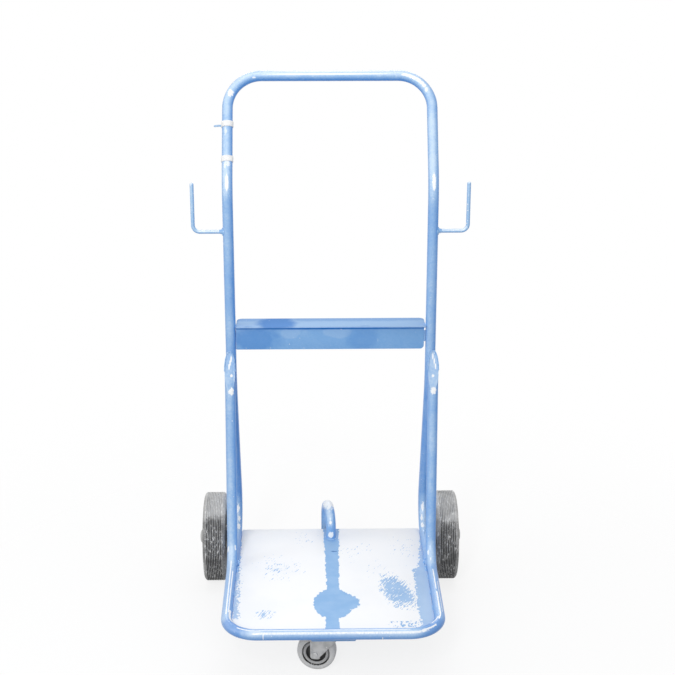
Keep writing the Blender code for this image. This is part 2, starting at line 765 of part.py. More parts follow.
def build_caster_bolt(number, x, y, hole):
    """One bolt up through the top plate and the channel, with its nut inside the channel."""
    wide, deep = BOLT_HEAD
    head_top = CASTER_PLATE_BOTTOM - FIT
    nut_low = CHANNEL_BOTTOM + CHANNEL_THICKNESS + FIT
    nut_top = nut_low + NUT_HEIGHT
    head = bar(f"caster_bolt_{number}", wide, (x, y, head_top - deep), (x, y, head_top), 6)
    shank_low, shank_top = (x, y, head_top - deep / 2), (x, y, nut_top + BOLT_PAST_NUT)
    joined(part(head, STEEL), bar(f"bolt_shank_{number}", CASTER_BOLT_DIAMETER, shank_low, shank_top, 12))
    nut = part(bar(f"caster_nut_{number}", wide, (x, y, nut_low), (x, y, nut_top), 6), STEEL)
    cut(nut, bar(f"nut_hole_{number}", hole, (x, y, nut_low - CUT_PAST), (x, y, nut_top + CUT_PAST)))


def build_kingpin():
    head_top = CROWN_BOTTOM - RUN
    head_low = head_top - KINGPIN_HEAD[1]
    wide = KINGPIN_HEAD[0] / 2
    shank = KINGPIN_DIAMETER / 2
    profile = [
        (0, CASTER_TOP - FIT),
        (shank, CASTER_TOP - FIT),
        (shank, head_top),
        (wide, head_top),
        (wide, head_low + KINGPIN_BEVEL),
        (wide * 0.7, head_low),
        (0, head_low),
    ]
    part(turned("caster_kingpin", profile, (0, CASTER_Y, 0), FLAT), STEEL)


def build_fork():
    """A pressed fork: a crown on the kingpin and two legs that slope back to the wheel's axle."""
    half = FORK_OUTSIDE + CROWN_LIP
    rear = -CASTER_TRAIL - FORK_EYE - CROWN_REAR
    nose = FORK_NOSE + CROWN_NOSE
    crown_path = outline(
        [
            (rear, -half, CROWN_CORNER),
            (nose, -half, CROWN_NOSE_RADIUS),
            (nose, half, CROWN_NOSE_RADIUS),
            (rear, half, CROWN_CORNER),
        ]
    )
    crown_z = (CROWN_TOP + CROWN_BOTTOM) / 2
    crown = plate("caster_fork", crown_path, FORK_THICKNESS, FLAT, (0, 0, crown_z))
    part(placed(crown, caster_frame()), STEEL)
    eye_low = CASTER_AXLE_Z - FORK_EYE
    leg_path = outline(
        [
            (-CASTER_TRAIL - FORK_EYE, crown_z, 0),
            (-CASTER_TRAIL - FORK_EYE, eye_low, FORK_EYE * 0.9),
            (-CASTER_TRAIL + FORK_EYE * 0.7, eye_low, FORK_EYE * 0.7),
            (FORK_NOSE, CROWN_BOTTOM - FORK_NOSE_DROP, FORK_CORNER),
            (FORK_NOSE, crown_z, 0),
        ]
    )
    for tag, side in (("near", -1), ("far", 1)):
        y = side * (FORK_INSIDE + FORK_THICKNESS) / 2
        leg = plate(f"fork_leg_{tag}", leg_path, FORK_THICKNESS, FRONTWAYS, (0, y, 0))
        joined(crown, placed(leg, caster_frame()))
    hole = bore(CASTER_BOLT_DIAMETER / 2 + FIT) * 2
    ends = [(-CASTER_TRAIL, y, CASTER_AXLE_Z) for y in (-FORK_INSIDE, FORK_INSIDE)]
    cut(crown, placed(bar("fork_axle_hole", hole, *ends), caster_frame()))
    pin = bore(KINGPIN_DIAMETER / 2 + RUN) * 2
    low, high = CROWN_BOTTOM - CUT_PAST, CROWN_TOP + CUT_PAST
    cut(crown, bar("fork_pin_hole", pin, (0, CASTER_Y, low), (0, CASTER_Y, high)))


def build_caster_axle():
    """The bolt across the fork, its head on the near side, and the nut on the far side."""

    def across(start, end):
        return [(-CASTER_TRAIL, y, CASTER_AXLE_Z) for y in (start, end)]

    outside = FORK_OUTSIDE + FIT
    wide, deep = AXLE_BOLT_HEAD
    head = bar("caster_axle_bolt", wide, *across(-outside - deep, -outside), 6)
    ends = across(-outside - deep / 2, outside + NUT_HEIGHT + BOLT_PAST_NUT)
    shank = bar("axle_shank", CASTER_BOLT_DIAMETER, *ends)
    part(placed(head, caster_frame()), STEEL)
    joined(head, placed(shank, caster_frame()))
    nut = bar("caster_axle_nut", wide, *across(outside, outside + NUT_HEIGHT), 6)
    part(placed(nut, caster_frame()), STEEL)
    hole = bore(CASTER_BOLT_DIAMETER / 2 + FIT) * 2
    cut(nut, placed(bar("axle_nut_hole", hole, *across(0, outside + NUT_HEIGHT + CUT_PAST)), caster_frame()))


def build_caster_wheel():
    """Core, tyre and bush, turned about the fork's axle."""
    way = Matrix.Rotation(math.pi / 2, 4, "X")
    centre = caster_frame() @ Matrix.Translation((-CASTER_TRAIL, 0, CASTER_AXLE_Z)) @ way
    half = CASTER_TYRE_WIDTH / 2
    outer = CASTER_WHEEL_DIAMETER / 2
    seat = CASTER_CORE_DIAMETER / 2
    inner = bore(seat + FIT, WHEEL_SIDES)
    side = [
        (outer - CASTER_TYRE_SIDE, half),
        (outer - CASTER_TYRE_DROP, half - CASTER_TYRE_INSET),
        (outer - CASTER_TYRE_CROWN, half - CASTER_TREAD_INSET),
        (outer, 0),
    ]
    far_side = [(radius, -z) for radius, z in reversed(side[:-1])]
    seat_edge = half - CASTER_SEAT_INSET
    tyre = side + far_side + [(inner, -seat_edge), (inner, seat_edge)]
    part(turned("caster_tyre", tyre, (0, 0, 0), centre, WHEEL_SIDES), GREY_RUBBER)
    hub = CASTER_HUB_DIAMETER / 2
    hub_half = FORK_INSIDE / 2 - 2 * RUN
    core_half = half - CASTER_TYRE_INSET
    hole = bore(CASTER_BUSH_DIAMETER / 2 + FIT)
    web = CASTER_CORE_WEB / 2
    band = seat - CASTER_CORE_WALL
    upper = [
        (band, core_half),
        (band - CASTER_CORE_TAPER, web),
        (hub + CASTER_CORE_TAPER, web),
        (hub, hub_half),
        (hole, hub_half),
    ]
    lower = [(radius, -z) for radius, z in upper]
    core = [(seat, core_half), (seat, -core_half)] + lower + upper[::-1]
    part(turned("caster_wheel_core", core, (0, 0, 0), centre, WHEEL_SIDES), GREY_PLASTIC)
    bush = ring(bore(CASTER_BOLT_DIAMETER / 2 + RUN), CASTER_BUSH_DIAMETER / 2, -hub_half, hub_half)
    part(turned("caster_bush", bush, (0, 0, 0), centre), STEEL)


def main():
    handle_space, hoop_space = build_frame()
    build_plate(hoop_space)
    build_channel()
    build_cross_rail()
    build_hook("hose_hook_left", -1, handle_space)
    build_hook("hose_hook_right", 1, handle_space)
    build_straps(handle_space)
    build_tipping_hoop()
    build_axle()
    build_brackets(handle_space)
    build_wheel("left", -1)
    build_wheel("right", 1)
    build_caster_mount()
    build_fork()
    build_caster_axle()
    build_caster_wheel()


main()
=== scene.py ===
"""Looks of a pump cart: smooth bent tubes, welds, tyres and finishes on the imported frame.

Metres, +Z up, front towards -Y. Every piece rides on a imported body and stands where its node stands.
"""

import logging
import math
from collections.abc import Callable, Sequence
from dataclasses import dataclass
from enum import Enum
from functools import reduce
from typing import Any

import bmesh
import bpy
from mathutils import Matrix, Vector


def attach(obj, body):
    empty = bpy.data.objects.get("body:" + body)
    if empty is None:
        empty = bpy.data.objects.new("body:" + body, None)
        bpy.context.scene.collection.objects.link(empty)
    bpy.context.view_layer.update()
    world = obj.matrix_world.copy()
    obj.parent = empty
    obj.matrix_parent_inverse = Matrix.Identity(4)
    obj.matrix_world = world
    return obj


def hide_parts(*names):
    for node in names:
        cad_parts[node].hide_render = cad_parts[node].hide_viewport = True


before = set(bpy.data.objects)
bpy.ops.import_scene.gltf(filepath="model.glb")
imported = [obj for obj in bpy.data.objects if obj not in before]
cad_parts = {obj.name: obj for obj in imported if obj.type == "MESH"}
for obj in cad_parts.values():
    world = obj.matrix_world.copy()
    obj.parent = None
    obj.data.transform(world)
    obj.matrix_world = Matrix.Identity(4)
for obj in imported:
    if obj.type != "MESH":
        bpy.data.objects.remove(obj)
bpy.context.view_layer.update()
LOG = logging.getLogger("pump_cart")
SEED = 11
# Each mesh records in an attribute how far its faces turn towards the direction below, above, in front and a
# little to the left; the paints turn this into painted light and shade, paler facing it and deeper facing
# away.
LIGHT_FACING = "weather"
LIGHT_DIRECTION = Vector((-0.22, -0.7, 0.68)).normalized()
CREASE = math.radians(34)
TINY = 1e-6

Piece = bpy.types.Object
Finish = bpy.types.Material
Work = bmesh.types.BMesh
Tree = bpy.types.NodeTree
Socket = bpy.types.NodeSocket
Values = dict[str, Any]
Span = tuple[float, float]
Place = tuple[float, float, float]
Colour = tuple[float, float, float]
Profile = list[Span]
Line = list[Vector]
Row = tuple[Vector, Vector]


class Body(Enum):
    """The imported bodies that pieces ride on."""

    FRAME = "frame"
    WHEEL_LEFT = "wheel_left"
    WHEEL_RIGHT = "wheel_right"
    FORK = "fork"
    CASTER_WHEEL = "caster_wheel"


class Slot(Enum):
    """The record's material slots."""

    FRAME_PAINT = "frame_paint"
    PLATE_PAINT = "plate_paint"
    STRAP = "strap"
    ZINC = "zinc"
    CAP = "cap_plastic"
    TYRE = "tyre_rubber"
    RIM = "rim_plastic"
    CASTER_CORE = "caster_core"
    CASTER_RUBBER = "caster_rubber"


class Side(Enum):
    """The cart's two sides, seen from the front."""

    LEFT = -1
    RIGHT = 1

    @property
    def tag(self) -> str:
        """The side's word in node names."""
        return self.name.lower()

    @property
    def outward(self) -> Matrix:
        """The turn that brings Z out to this side."""
        return Matrix.Rotation(self.value * math.pi / 2, 4, "Y")


# Node trees


def operator(kind: str, flipped: bool = False) -> Callable[..., "Signal"]:
    """A method of Signal that adds one Math node.

    Args:
        kind: the node's operation.
        flipped: whether self is the second term.

    Returns:
        The method.
    """

    def method(self: "Signal", other: "Number" = 0.0) -> "Signal":
        """Adds the node and returns its result."""
        node = self.tree.nodes.new("ShaderNodeMath")
        node.operation = kind
        for entry, term in zip(node.inputs, (other, self) if flipped else (self, other)):
            plug(self.tree, entry, term)
        return Signal(self.tree, node.outputs[0])

    return method


class Signal:
    """One output of a node tree, with plain arithmetic that adds Math nodes."""

    def __init__(self, tree: Tree, socket: Socket | None) -> None:
        """Args: tree: the tree that holds the socket. socket: the output, if its node has one."""
        self.tree = tree
        self.socket = socket

    __add__, __radd__ = operator("ADD"), operator("ADD", True)
    __sub__, __rsub__ = operator("SUBTRACT"), operator("SUBTRACT", True)
    __mul__, __rmul__ = operator("MULTIPLY"), operator("MULTIPLY", True)
    __truediv__, __rtruediv__ = operator("DIVIDE"), operator("DIVIDE", True)
    __pow__, __rpow__ = operator("POWER"), operator("POWER", True)
    __abs__ = operator("ABSOLUTE")
    sine = operator("SINE")
    least = operator("MINIMUM")
    most = operator("MAXIMUM")


Number = Signal | float | int


def plug(tree: Tree, entry: Socket, value: Any) -> None:
    """Links a signal to a socket, or sets a plain value on it.

    Args:
        tree: the tree that holds the socket.
        entry: the input socket.
        value: a Signal, or anything the socket takes.
    """
    if isinstance(value, Signal):
        tree.links.new(value.socket, entry)
    elif isinstance(value, tuple) and entry.type == "RGBA" and len(value) == 3:
        entry.default_value = (*value, 1.0)
    else:
        entry.default_value = value


class NodeKit:
    """Adds nodes to one tree."""

    def __init__(self, tree: Tree) -> None:
        """Args: tree: the tree to add to."""
        self.tree = tree

    def node(
        self, kind: str, settings: Values | None = None, inputs: Values | None = None, out: str = ""
    ) -> Signal:
        """Adds any node that isn't arithmetic.

        Args:
            kind: the node's type.
            settings: its properties.
            inputs: its inputs by socket name or identifier.
            out: the name or identifier of the output to return, or the first one.

        Returns:
            That output.
        """
        node = self.tree.nodes.new(kind)
        for key, value in (settings or {}).items():
            setattr(node, key, value)
        for key, value in (inputs or {}).items():
            plug(self.tree, next(s for s in node.inputs if key in (s.identifier, s.name)), value)
        found = [s for s in node.outputs if out in (s.identifier, s.name)] or list(node.outputs)
        return Signal(self.tree, found[0] if found else None)


class Shader(NodeKit):
    """One material's tree, from Object coordinates to its Principled shader."""

    def __init__(self, name: str) -> None:
        """Args: name: the material's name."""
        self.material = bpy.data.materials.new(name)
        self.material.use_nodes = True
        super().__init__(self.material.node_tree)
        self.surface = self.tree.nodes["Principled BSDF"]
        self.at = self.node("ShaderNodeTexCoord", out="Object")

    def noise(
        self, scale: float, detail: float = 2.0, at: Signal | None = None, warp: float = 0.0
    ) -> Signal:
        """Noise about 0.5, with scale in waves per metre, read at a position or the Object coordinates."""
        inputs = {"Vector": at or self.at, "Scale": scale, "Detail": detail, "Distortion": warp}
        return self.node("ShaderNodeTexNoise", inputs=inputs, out="Fac")

    def stretched(self, scale: Place, shift: Place = (0.0, 0.0, 0.0)) -> Signal:
        """Object coordinates stretched along X, Y and Z by scale, then moved by shift."""
        inputs = {"Vector": self.at, "Scale": scale, "Location": shift}
        return self.node("ShaderNodeMapping", inputs=inputs)

    def dots(self, scale: float, size: float, share: float) -> Signal:
        """Scattered round specks.

        Args:
            scale: cells per metre.
            size: a speck's radius, as a share of its cell.
            share: the share of cells that hold a speck.

        Returns:
            1 in a speck and 0 outside.
        """
        inputs = {"Vector": self.at, "Scale": scale}
        near = self.node("ShaderNodeTexVoronoi", inputs=inputs, out="Distance")
        tint = self.node("ShaderNodeTexVoronoi", inputs=inputs, out="Color")
        pick = self.node("ShaderNodeSeparateColor", inputs={"Color": tint}, out="Red")
        return self.step(near, size, size * 0.6) * self.step(pick, 1.0 - share, 1.02 - share)

    def rings(self, scale: float, size: float, share: float) -> Signal:
        """1 on scattered small circles, such as dried drops leave, and 0 off them. Sizes are as for dots."""
        return self.dots(scale, size, share) - self.dots(scale, size * 0.62, share)

    def ball(self, centre: Place, half: Place) -> Signal:
        """How far a point lies from a centre.

        Args:
            centre: the centre, in metres.
            half: the half sizes of the ball that surrounds it.

        Returns:
            0 at the centre and 1 on the ball.
        """
        scale = tuple(1.0 / size for size in half)
        shift = tuple(-place / size for place, size in zip(centre, half))
        near = self.stretched(scale, shift)
        return self.node("ShaderNodeVectorMath", {"operation": "LENGTH"}, {"Vector": near}, "Value")

    def axes(self, at: Signal | None = None) -> tuple[Signal, Signal, Signal]:
        """The X, Y and Z of a position, by default the Object coordinates."""
        node = self.node("ShaderNodeSeparateXYZ", inputs={"Vector": at or self.at}).socket.node
        return tuple(Signal(self.tree, socket) for socket in node.outputs)

    def facing_light(self) -> Signal:
        """How far the surface faces the painted light: 1 fully, 0 edge on, less than 0 away."""
        return self.node("ShaderNodeAttribute", {"attribute_name": LIGHT_FACING}, out="Fac")

    def step(self, value: Signal, low: float, high: float) -> Signal:
        """A smooth step.

        Args:
            value: what is stepped.
            low, high: where the step starts and ends. It falls where high is below low.

        Returns:
            0 to 1.
        """
        rising = high > low
        ends = {"From Min": min(low, high), "From Max": max(low, high)}
        ends |= {"To Min": 0.0 if rising else 1.0, "To Max": 1.0 if rising else 0.0}
        settings = {"interpolation_type": "SMOOTHSTEP"}
        return self.node("ShaderNodeMapRange", settings, {"Value": value, **ends}, "Result")

    def mix(self, factor: Number, first: Signal | Colour, second: Signal | Colour) -> Signal:
        """Mixes two colours, where factor is the share of the second one."""
        inputs = {"Factor_Float": factor, "A_Color": first, "B_Color": second}
        return self.node("ShaderNodeMix", {"data_type": "RGBA"}, inputs, "Result_Color")

    def bump(self, height: Signal, distance: float) -> Signal:
        """A normal that follows a height of 0 to 1, where 1 stands this distance up, in metres."""
        return self.node("ShaderNodeBump", inputs={"Height": height, "Distance": distance, "Strength": 1.0})

    def done(self, **sockets: Any) -> Finish:
        """Sets the shader's sockets.

        Args:
            sockets: values or signals by socket name, with _ for a space.

        Returns:
            The material.
        """
        for name, value in sockets.items():
            plug(self.tree, self.surface.inputs[name.replace("_", " ")], value)
        return self.material


# Finishes


@dataclass(frozen=True)
class Mark:
    """A ball-shaped place on the frame where its paint differs."""

    centre: Place
    half: Place
    strength: float = 1.0
    ragged: float = 0.9

    def inside(self, tree: Shader) -> Signal:
        """How far inside the ball a point lies: 1 at its centre, 0 on its edge."""
        return 1.0 - tree.ball(self.centre, self.half)


def both_sides(
    x: float, y: float, z: float, half: Place, strength: float = 1.0, ragged: float = 0.9
) -> tuple[Mark, Mark]:
    """A mark and its mirror image on the cart's other side."""
    return Mark((-x, y, z), half, strength, ragged), Mark((x, y, z), half, strength, ragged)


@dataclass(frozen=True)
class HighlightLine:
    """A painted highlight line that follows the platform's rim.

    Its offset is measured outwards from the rim's centre line, seen from above.
    """

    offset: float
    half: float
    x_span: Span
    y_span: Span
    strength: float = 1.0
    ragged: float = 0.5
    core: Span = (0.15, -0.2255)
    corner: float = 0.064
    rim_z: float = 0.128
    fade: float = 0.006

    def inside(self, tree: Shader) -> Signal:
        """How far inside the line a point lies: 1 on the line, 0 on its edge."""
        x, y, z = tree.axes()
        over = (abs(x) - self.core[0]).most(0.0)
        ahead = (self.core[1] - y).most(0.0)
        away = (over * over + ahead * ahead) ** 0.5 - (self.corner + self.offset)
        whole = 1.0 - abs(away) / self.half
        for place, (low, high) in ((x, self.x_span), (y, self.y_span)):
            whole = whole.least((place - low) / self.fade).least((high - place) / self.fade)
        return whole.least((z - self.rim_z) / self.fade)


LEFT, FRONT, RIGHT = (-0.3, -0.15), (-0.4, -0.2), (0.15, 0.3)
# Painted highlight lines along the rim's tube, laid into the paint as pale lines.
RIM_HIGHLIGHT_LINES = (
    HighlightLine(0.0012, 0.0015, LEFT, (-0.228, -0.005), 1.0, 0.5, fade=0.02),
    HighlightLine(-0.0037, 0.0012, LEFT, (-0.22, -0.04), 0.95, 0.7, fade=0.02),
    HighlightLine(-0.0066, 0.0024, LEFT, (-0.256, -0.206), 0.95, 0.9),
    HighlightLine(0.008, 0.0017, (-0.165, 0.19), FRONT, 1.0, 0.4, fade=0.035),
    HighlightLine(0.003, 0.0013, (-0.192, -0.14), FRONT, 0.9, 1.0, fade=0.012),
    HighlightLine(0.0022, 0.0013, (-0.15, 0.15), FRONT, 0.8, 0.9, fade=0.02),
    HighlightLine(0.0008, 0.0018, RIGHT, (-0.252, -0.136), 1.0, 0.7, fade=0.012),
    HighlightLine(0.0004, 0.0014, RIGHT, (-0.132, -0.04), 1.0, 1.0, fade=0.012),
    HighlightLine(0.006, 0.001, RIGHT, (-0.222, -0.09), 0.7, 0.8, fade=0.012),
    HighlightLine(-0.003, 0.0016, (0.178, 0.215), (-0.27, -0.24), 0.9, 1.5),
    HighlightLine(0.006, 0.0016, (0.174, 0.204), (-0.4, -0.268), 0.9, 2.0),
)


# Painted highlights: pale marks laid into the paint where light glints on the handle's bends, its top bar
# and its lower bends.
HANDLE_HIGHLIGHTS = (
    *both_sides(0.211, 0.09, 0.949, (0.0042, 0.014, 0.023)),
    Mark((-0.204, 0.182, 1.115), (0.007, 0.013, 0.008), 0.9, 1.6),
    Mark((-0.2138, 0.1425, 1.0435), (0.003, 0.007, 0.009), 0.55, 2.4),
    Mark((-0.2146, 0.108, 0.9815), (0.0024, 0.006, 0.013), 0.7, 2.4),
    Mark((-0.2078, 0.108, 0.9835), (0.0042, 0.006, 0.008), 0.7, 2.4),
    *both_sides(0.2085, 0.189, 0.175, (0.0036, 0.008, 0.012), 0.95, 1.8),
    *both_sides(0.206, 0.176, 0.155, (0.003, 0.008, 0.007), 0.9, 2.2),
    *both_sides(0.2065, 0.159, 0.144, (0.004, 0.011, 0.006), 0.95, 1.8),
    Mark((-0.005, 0.2008, 1.15), (0.16, 0.0019, 0.0019), 1.0, 0.3),
    Mark((0.01, 0.2062, 1.1553), (0.165, 0.003, 0.002), 0.85, 0.9),
    *(Mark(place, (0.008, 0.0034, 0.003), 0.95, 0.4) for place in (
        (0.154, 0.2, 1.1487), (0.162, 0.1988, 1.147),
        (0.17, 0.1972, 1.1445), (0.1775, 0.1955, 1.1415),
    )),
    *(Mark(place, (0.005, 0.004, 0.0048), 0.95, 0.4) for place in (
        (0.184, 0.1936, 1.138), (0.1895, 0.1912, 1.1335), (0.194, 0.1884, 1.1285),
    )),
    Mark((0.1985, 0.1845, 1.1205), (0.004, 0.004, 0.007), 0.8, 0.9),
    Mark((-0.1557, 0.1986, 1.1436), (0.0045, 0.003, 0.0022), 0.8, 1.4),
)
# Painted highlights on the hoop: its scarfs and knees, the rim's front and the foot corners.
HOOP_HIGHLIGHTS = (
    Mark((-0.2095, 0.0709, 0.5376), (0.0034, 0.006, 0.0038)),
    Mark((0.2153, 0.0703, 0.5351), (0.0034, 0.006, 0.0038)),
    Mark((-0.2101, 0.0615, 0.506), (0.0074, 0.007, 0.0092), 1.0, 1.2),
    Mark((0.2164, 0.0615, 0.505), (0.0074, 0.007, 0.0092), 1.0, 1.2),
    *(Mark(place, (0.0019, 0.007, 0.0075), 1.0, 0.3) for place in (
        (-0.21, 0.08, 0.572), (-0.2122, 0.078, 0.564), (-0.2145, 0.0757, 0.556),
        (0.215, 0.0812, 0.575), (0.218, 0.0782, 0.565), (0.2206, 0.0752, 0.555),
    )),
    Mark((-0.1385, -0.299, 0.13), (0.0011, 0.006, 0.0085), 0.95, 0.5),
    Mark((0.096, -0.2985, 0.1235), (0.0011, 0.005, 0.004), 0.9, 0.5),
    Mark((-0.2225, 0.014, 0.16), (0.0022, 0.004, 0.011), 0.8, 1.0),
    Mark((-0.207, 0.014, 0.164), (0.0022, 0.004, 0.009), 0.8, 1.0),
    Mark((0.208, 0.006, 0.154), (0.0022, 0.005, 0.008), 0.8, 1.3),
    Mark((0.212, -0.008, 0.1449), (0.0022, 0.006, 0.004), 0.8, 1.3),
)
# Painted shade on the rim: a light darkening over its top, a darker band along its underside and darker
# front corners.
RIM_PAINTED_SHADE = (
    Mark((0.0, -0.14, 0.128), (0.35, 0.22, 0.02), 0.3, 0.6),
    Mark((-0.02, -0.29, 0.117), (0.19, 0.014, 0.0055), 0.8, 0.4),
    Mark((-0.198, -0.27, 0.13), (0.048, 0.042, 0.03), 0.6, 0.8),
    Mark((0.2, -0.272, 0.13), (0.042, 0.042, 0.03), 0.5, 0.8),
)
# Painted highlights on the arch: a dot and a blob on its front leg, and its pale top.
ARCH_HIGHLIGHTS = (
    Mark((-0.0009, 0.1205, 0.1698), (0.0034, 0.006, 0.0042)),
    Mark((-0.0004, 0.1175, 0.142), (0.0072, 0.006, 0.0085), 1.0, 1.2),
    Mark((-0.004, 0.164, 0.208), (0.03, 0.042, 0.023), 0.9, 1.5),
)
# Darker marks on the rail: painted shade over the shelf's rear, a darker patch on the shelf, darker patches
# on the face and a painted shadow under the shelf's lip.
RAIL_SHADE_AND_PATCHES = (
    Mark((0.0, 0.14, 0.641), (0.6, 0.022, 0.004), 0.25, 0.6),
    Mark((-0.114, 0.112, 0.64), (0.05, 0.075, 0.01), 0.64, 0.4),
    Mark((-0.155, 0.09, 0.612), (0.06, 0.01, 0.036), 0.42),
    Mark((0.068, 0.09, 0.612), (0.044, 0.01, 0.036), 0.25),
    Mark((0.0, 0.0865, 0.6355), (0.6, 0.006, 0.0048), 1.0, 0.2),
)
# Paler marks on the rail: painted light over the shelf's top, and two paler patches on the face.
RAIL_PALE_PATCHES = (
    Mark((0.0, 0.108, 0.6405), (0.9, 0.06, 0.006), 1.0, 0.3),
    Mark((-0.086, 0.09, 0.626), (0.022, 0.012, 0.014), 0.35),
    Mark((0.015, 0.09, 0.626), (0.032, 0.012, 0.014), 0.35),
)


@dataclass(frozen=True)
class BluePaint:
    """Worn glossy blue paint on welded steel, with painted light and shade: paler where it faces the light,
    deeper where it faces away, and painted highlights.
    """

    name: str = "tube_paint_worn"
    # deep is the colour of painted shade, mid the plain paint and pale the colour of painted light.
    deep: Colour = (0.07, 0.275, 0.71)
    mid: Colour = (0.235, 0.445, 0.765)
    pale: Colour = (0.56, 0.705, 0.88)
    shade: Colour = (0.04, 0.215, 0.64)
    # The white of chips and scratches, also used for the painted highlights.
    primer_and_highlight: Colour = (0.92, 0.94, 0.96)
    rust: Colour = (0.3, 0.22, 0.17)
    roughness: float = 0.24
    peel: float = 0.00004
    chips: float = 0.022
    gloss: float = 0.35
    # Marks painted white, as painted highlights.
    painted_highlights: tuple[Mark | HighlightLine, ...] = ()
    # Marks mixed towards shade: painted shade and shadow on the rim and rail, and darker patches.
    dark_patches: tuple[Mark, ...] = ()
    # Marks mixed towards pale: painted light and paler patches.
    pale_patches: tuple[Mark, ...] = ()

    def spread(self, tree: Shader, marks: Sequence[Mark | HighlightLine], ragged: Signal, soft: float) -> Signal:
        """Where any of the marks lies.

        Args:
            tree: the material's tree.
            marks: the marks.
            ragged: noise that breaks up their edges.
            soft: the width of their edges, as a share of their size.

        Returns:
            0 to 1.
        """
        found: list[Signal] = []
        for mark in marks:
            inside = mark.inside(tree) + (ragged - 0.5) * mark.ragged
            found.append(tree.step(inside, 0.0, soft) * mark.strength)
        return reduce(Signal.most, found)

    def build(self) -> Finish:
        """Returns: the paint, paler as painted light where it faces the light and deeper as painted shade
        where it faces away, with painted highlights, chips, scratches and rust in a few spots.
        """
        tree = Shader(self.name)
        cloud = tree.noise(7.0, 4.0, warp=0.6)
        mottle = tree.noise(46.0, 3.0)
        grit = tree.noise(230.0, 3.0)
        # Painted light and shade: the colour runs from deep, a painted shade, to pale, a painted light, by
        # how far the surface faces the light, broken up by noise.
        light_and_tone = tree.facing_light() + (cloud - 0.5) * 0.55 + (mottle - 0.5) * 0.3 + (grit - 0.5) * 0.34
        colour = tree.mix(tree.step(light_and_tone, 0.08, 0.86), self.deep, self.mid)
        colour = tree.mix(tree.step(light_and_tone, 0.66, 1.08), colour, self.pale)
        # Painted light and paler patches.
        if self.pale_patches:
            colour = tree.mix(self.spread(tree, self.pale_patches, mottle, 0.2), colour, self.pale)
        # Painted shade and darker patches.
        if self.dark_patches:
            colour = tree.mix(self.spread(tree, self.dark_patches, mottle, 0.5), colour, self.shade)
        rub = tree.noise(1.0, 5.0, tree.stretched((300.0, 300.0, 24.0)))
        scratch = tree.step(rub, 0.68, 0.76) * tree.step(cloud, 0.44, 0.62)
        chips = tree.dots(230.0, 0.22, self.chips).most(tree.dots(110.0, 0.15, self.chips))
        wear_and_highlights = chips.most(scratch * 0.6)
        # Painted highlights join the real chips and scratches in the same white.
        if self.painted_highlights:
            streaks = tree.noise(1.0, 4.0, tree.stretched((330.0, 150.0, 240.0)))
            wear_and_highlights = wear_and_highlights.most(self.spread(tree, self.painted_highlights, streaks, 0.3))
        colour = tree.mix(wear_and_highlights, colour, self.primer_and_highlight)
        spots = tree.dots(60.0, 0.1, 0.015)
        colour = tree.mix(spots * 0.7, colour, self.rust)
        rough = self.roughness + mottle * 0.12 + wear_and_highlights * 0.2
        relief = tree.noise(520.0, 2.0) * 0.7 - wear_and_highlights * 0.4
        return tree.done(
            Base_Color=colour, Roughness=rough, Normal=tree.bump(relief, self.peel),
            Specular_IOR_Level=self.gloss, Coat_Weight=self.gloss * 0.8, Coat_Roughness=0.07,
        )


@dataclass(frozen=True)
class WeldPaint:
    """The same paint over a weld bead: glossier where it pooled, pale on a few crests."""

    deep: Colour = (0.18, 0.39, 0.71)
    pale: Colour = (0.3, 0.5, 0.79)
    crest: Colour = (0.66, 0.77, 0.9)

    def build(self) -> Finish:
        """Returns: the painted weld."""
        tree = Shader("weld_paint")
        grain = tree.noise(260.0, 3.0)
        colour = tree.mix(tree.step(grain, 0.35, 0.62), self.deep, self.pale)
        colour = tree.mix(tree.step(grain, 0.64, 0.72) * 0.7, colour, self.crest)
        normal = tree.bump(tree.noise(700.0, 3.0), 0.00012)
        return tree.done(Base_Color=colour, Roughness=0.22 + grain * 0.16, Normal=normal, Coat_Weight=0.25)


class Edge(Enum):
    """How a patch of paint ends."""

    SQUARE = "square"
    ROUND = "round"


@dataclass(frozen=True)
class Patch:
    """A patch of blue paint left on the platform, in the sheet's plane.

    Its cover is 1 or more where the paint is whole and thins out to nothing over the fade.
    """

    x: float
    y: float
    half_x: float
    half_y: float
    cover: float = 1.35
    fade: float = 0.006
    edge: Edge = Edge.SQUARE
    taper: float = 0.0
    lean: float = 0.0


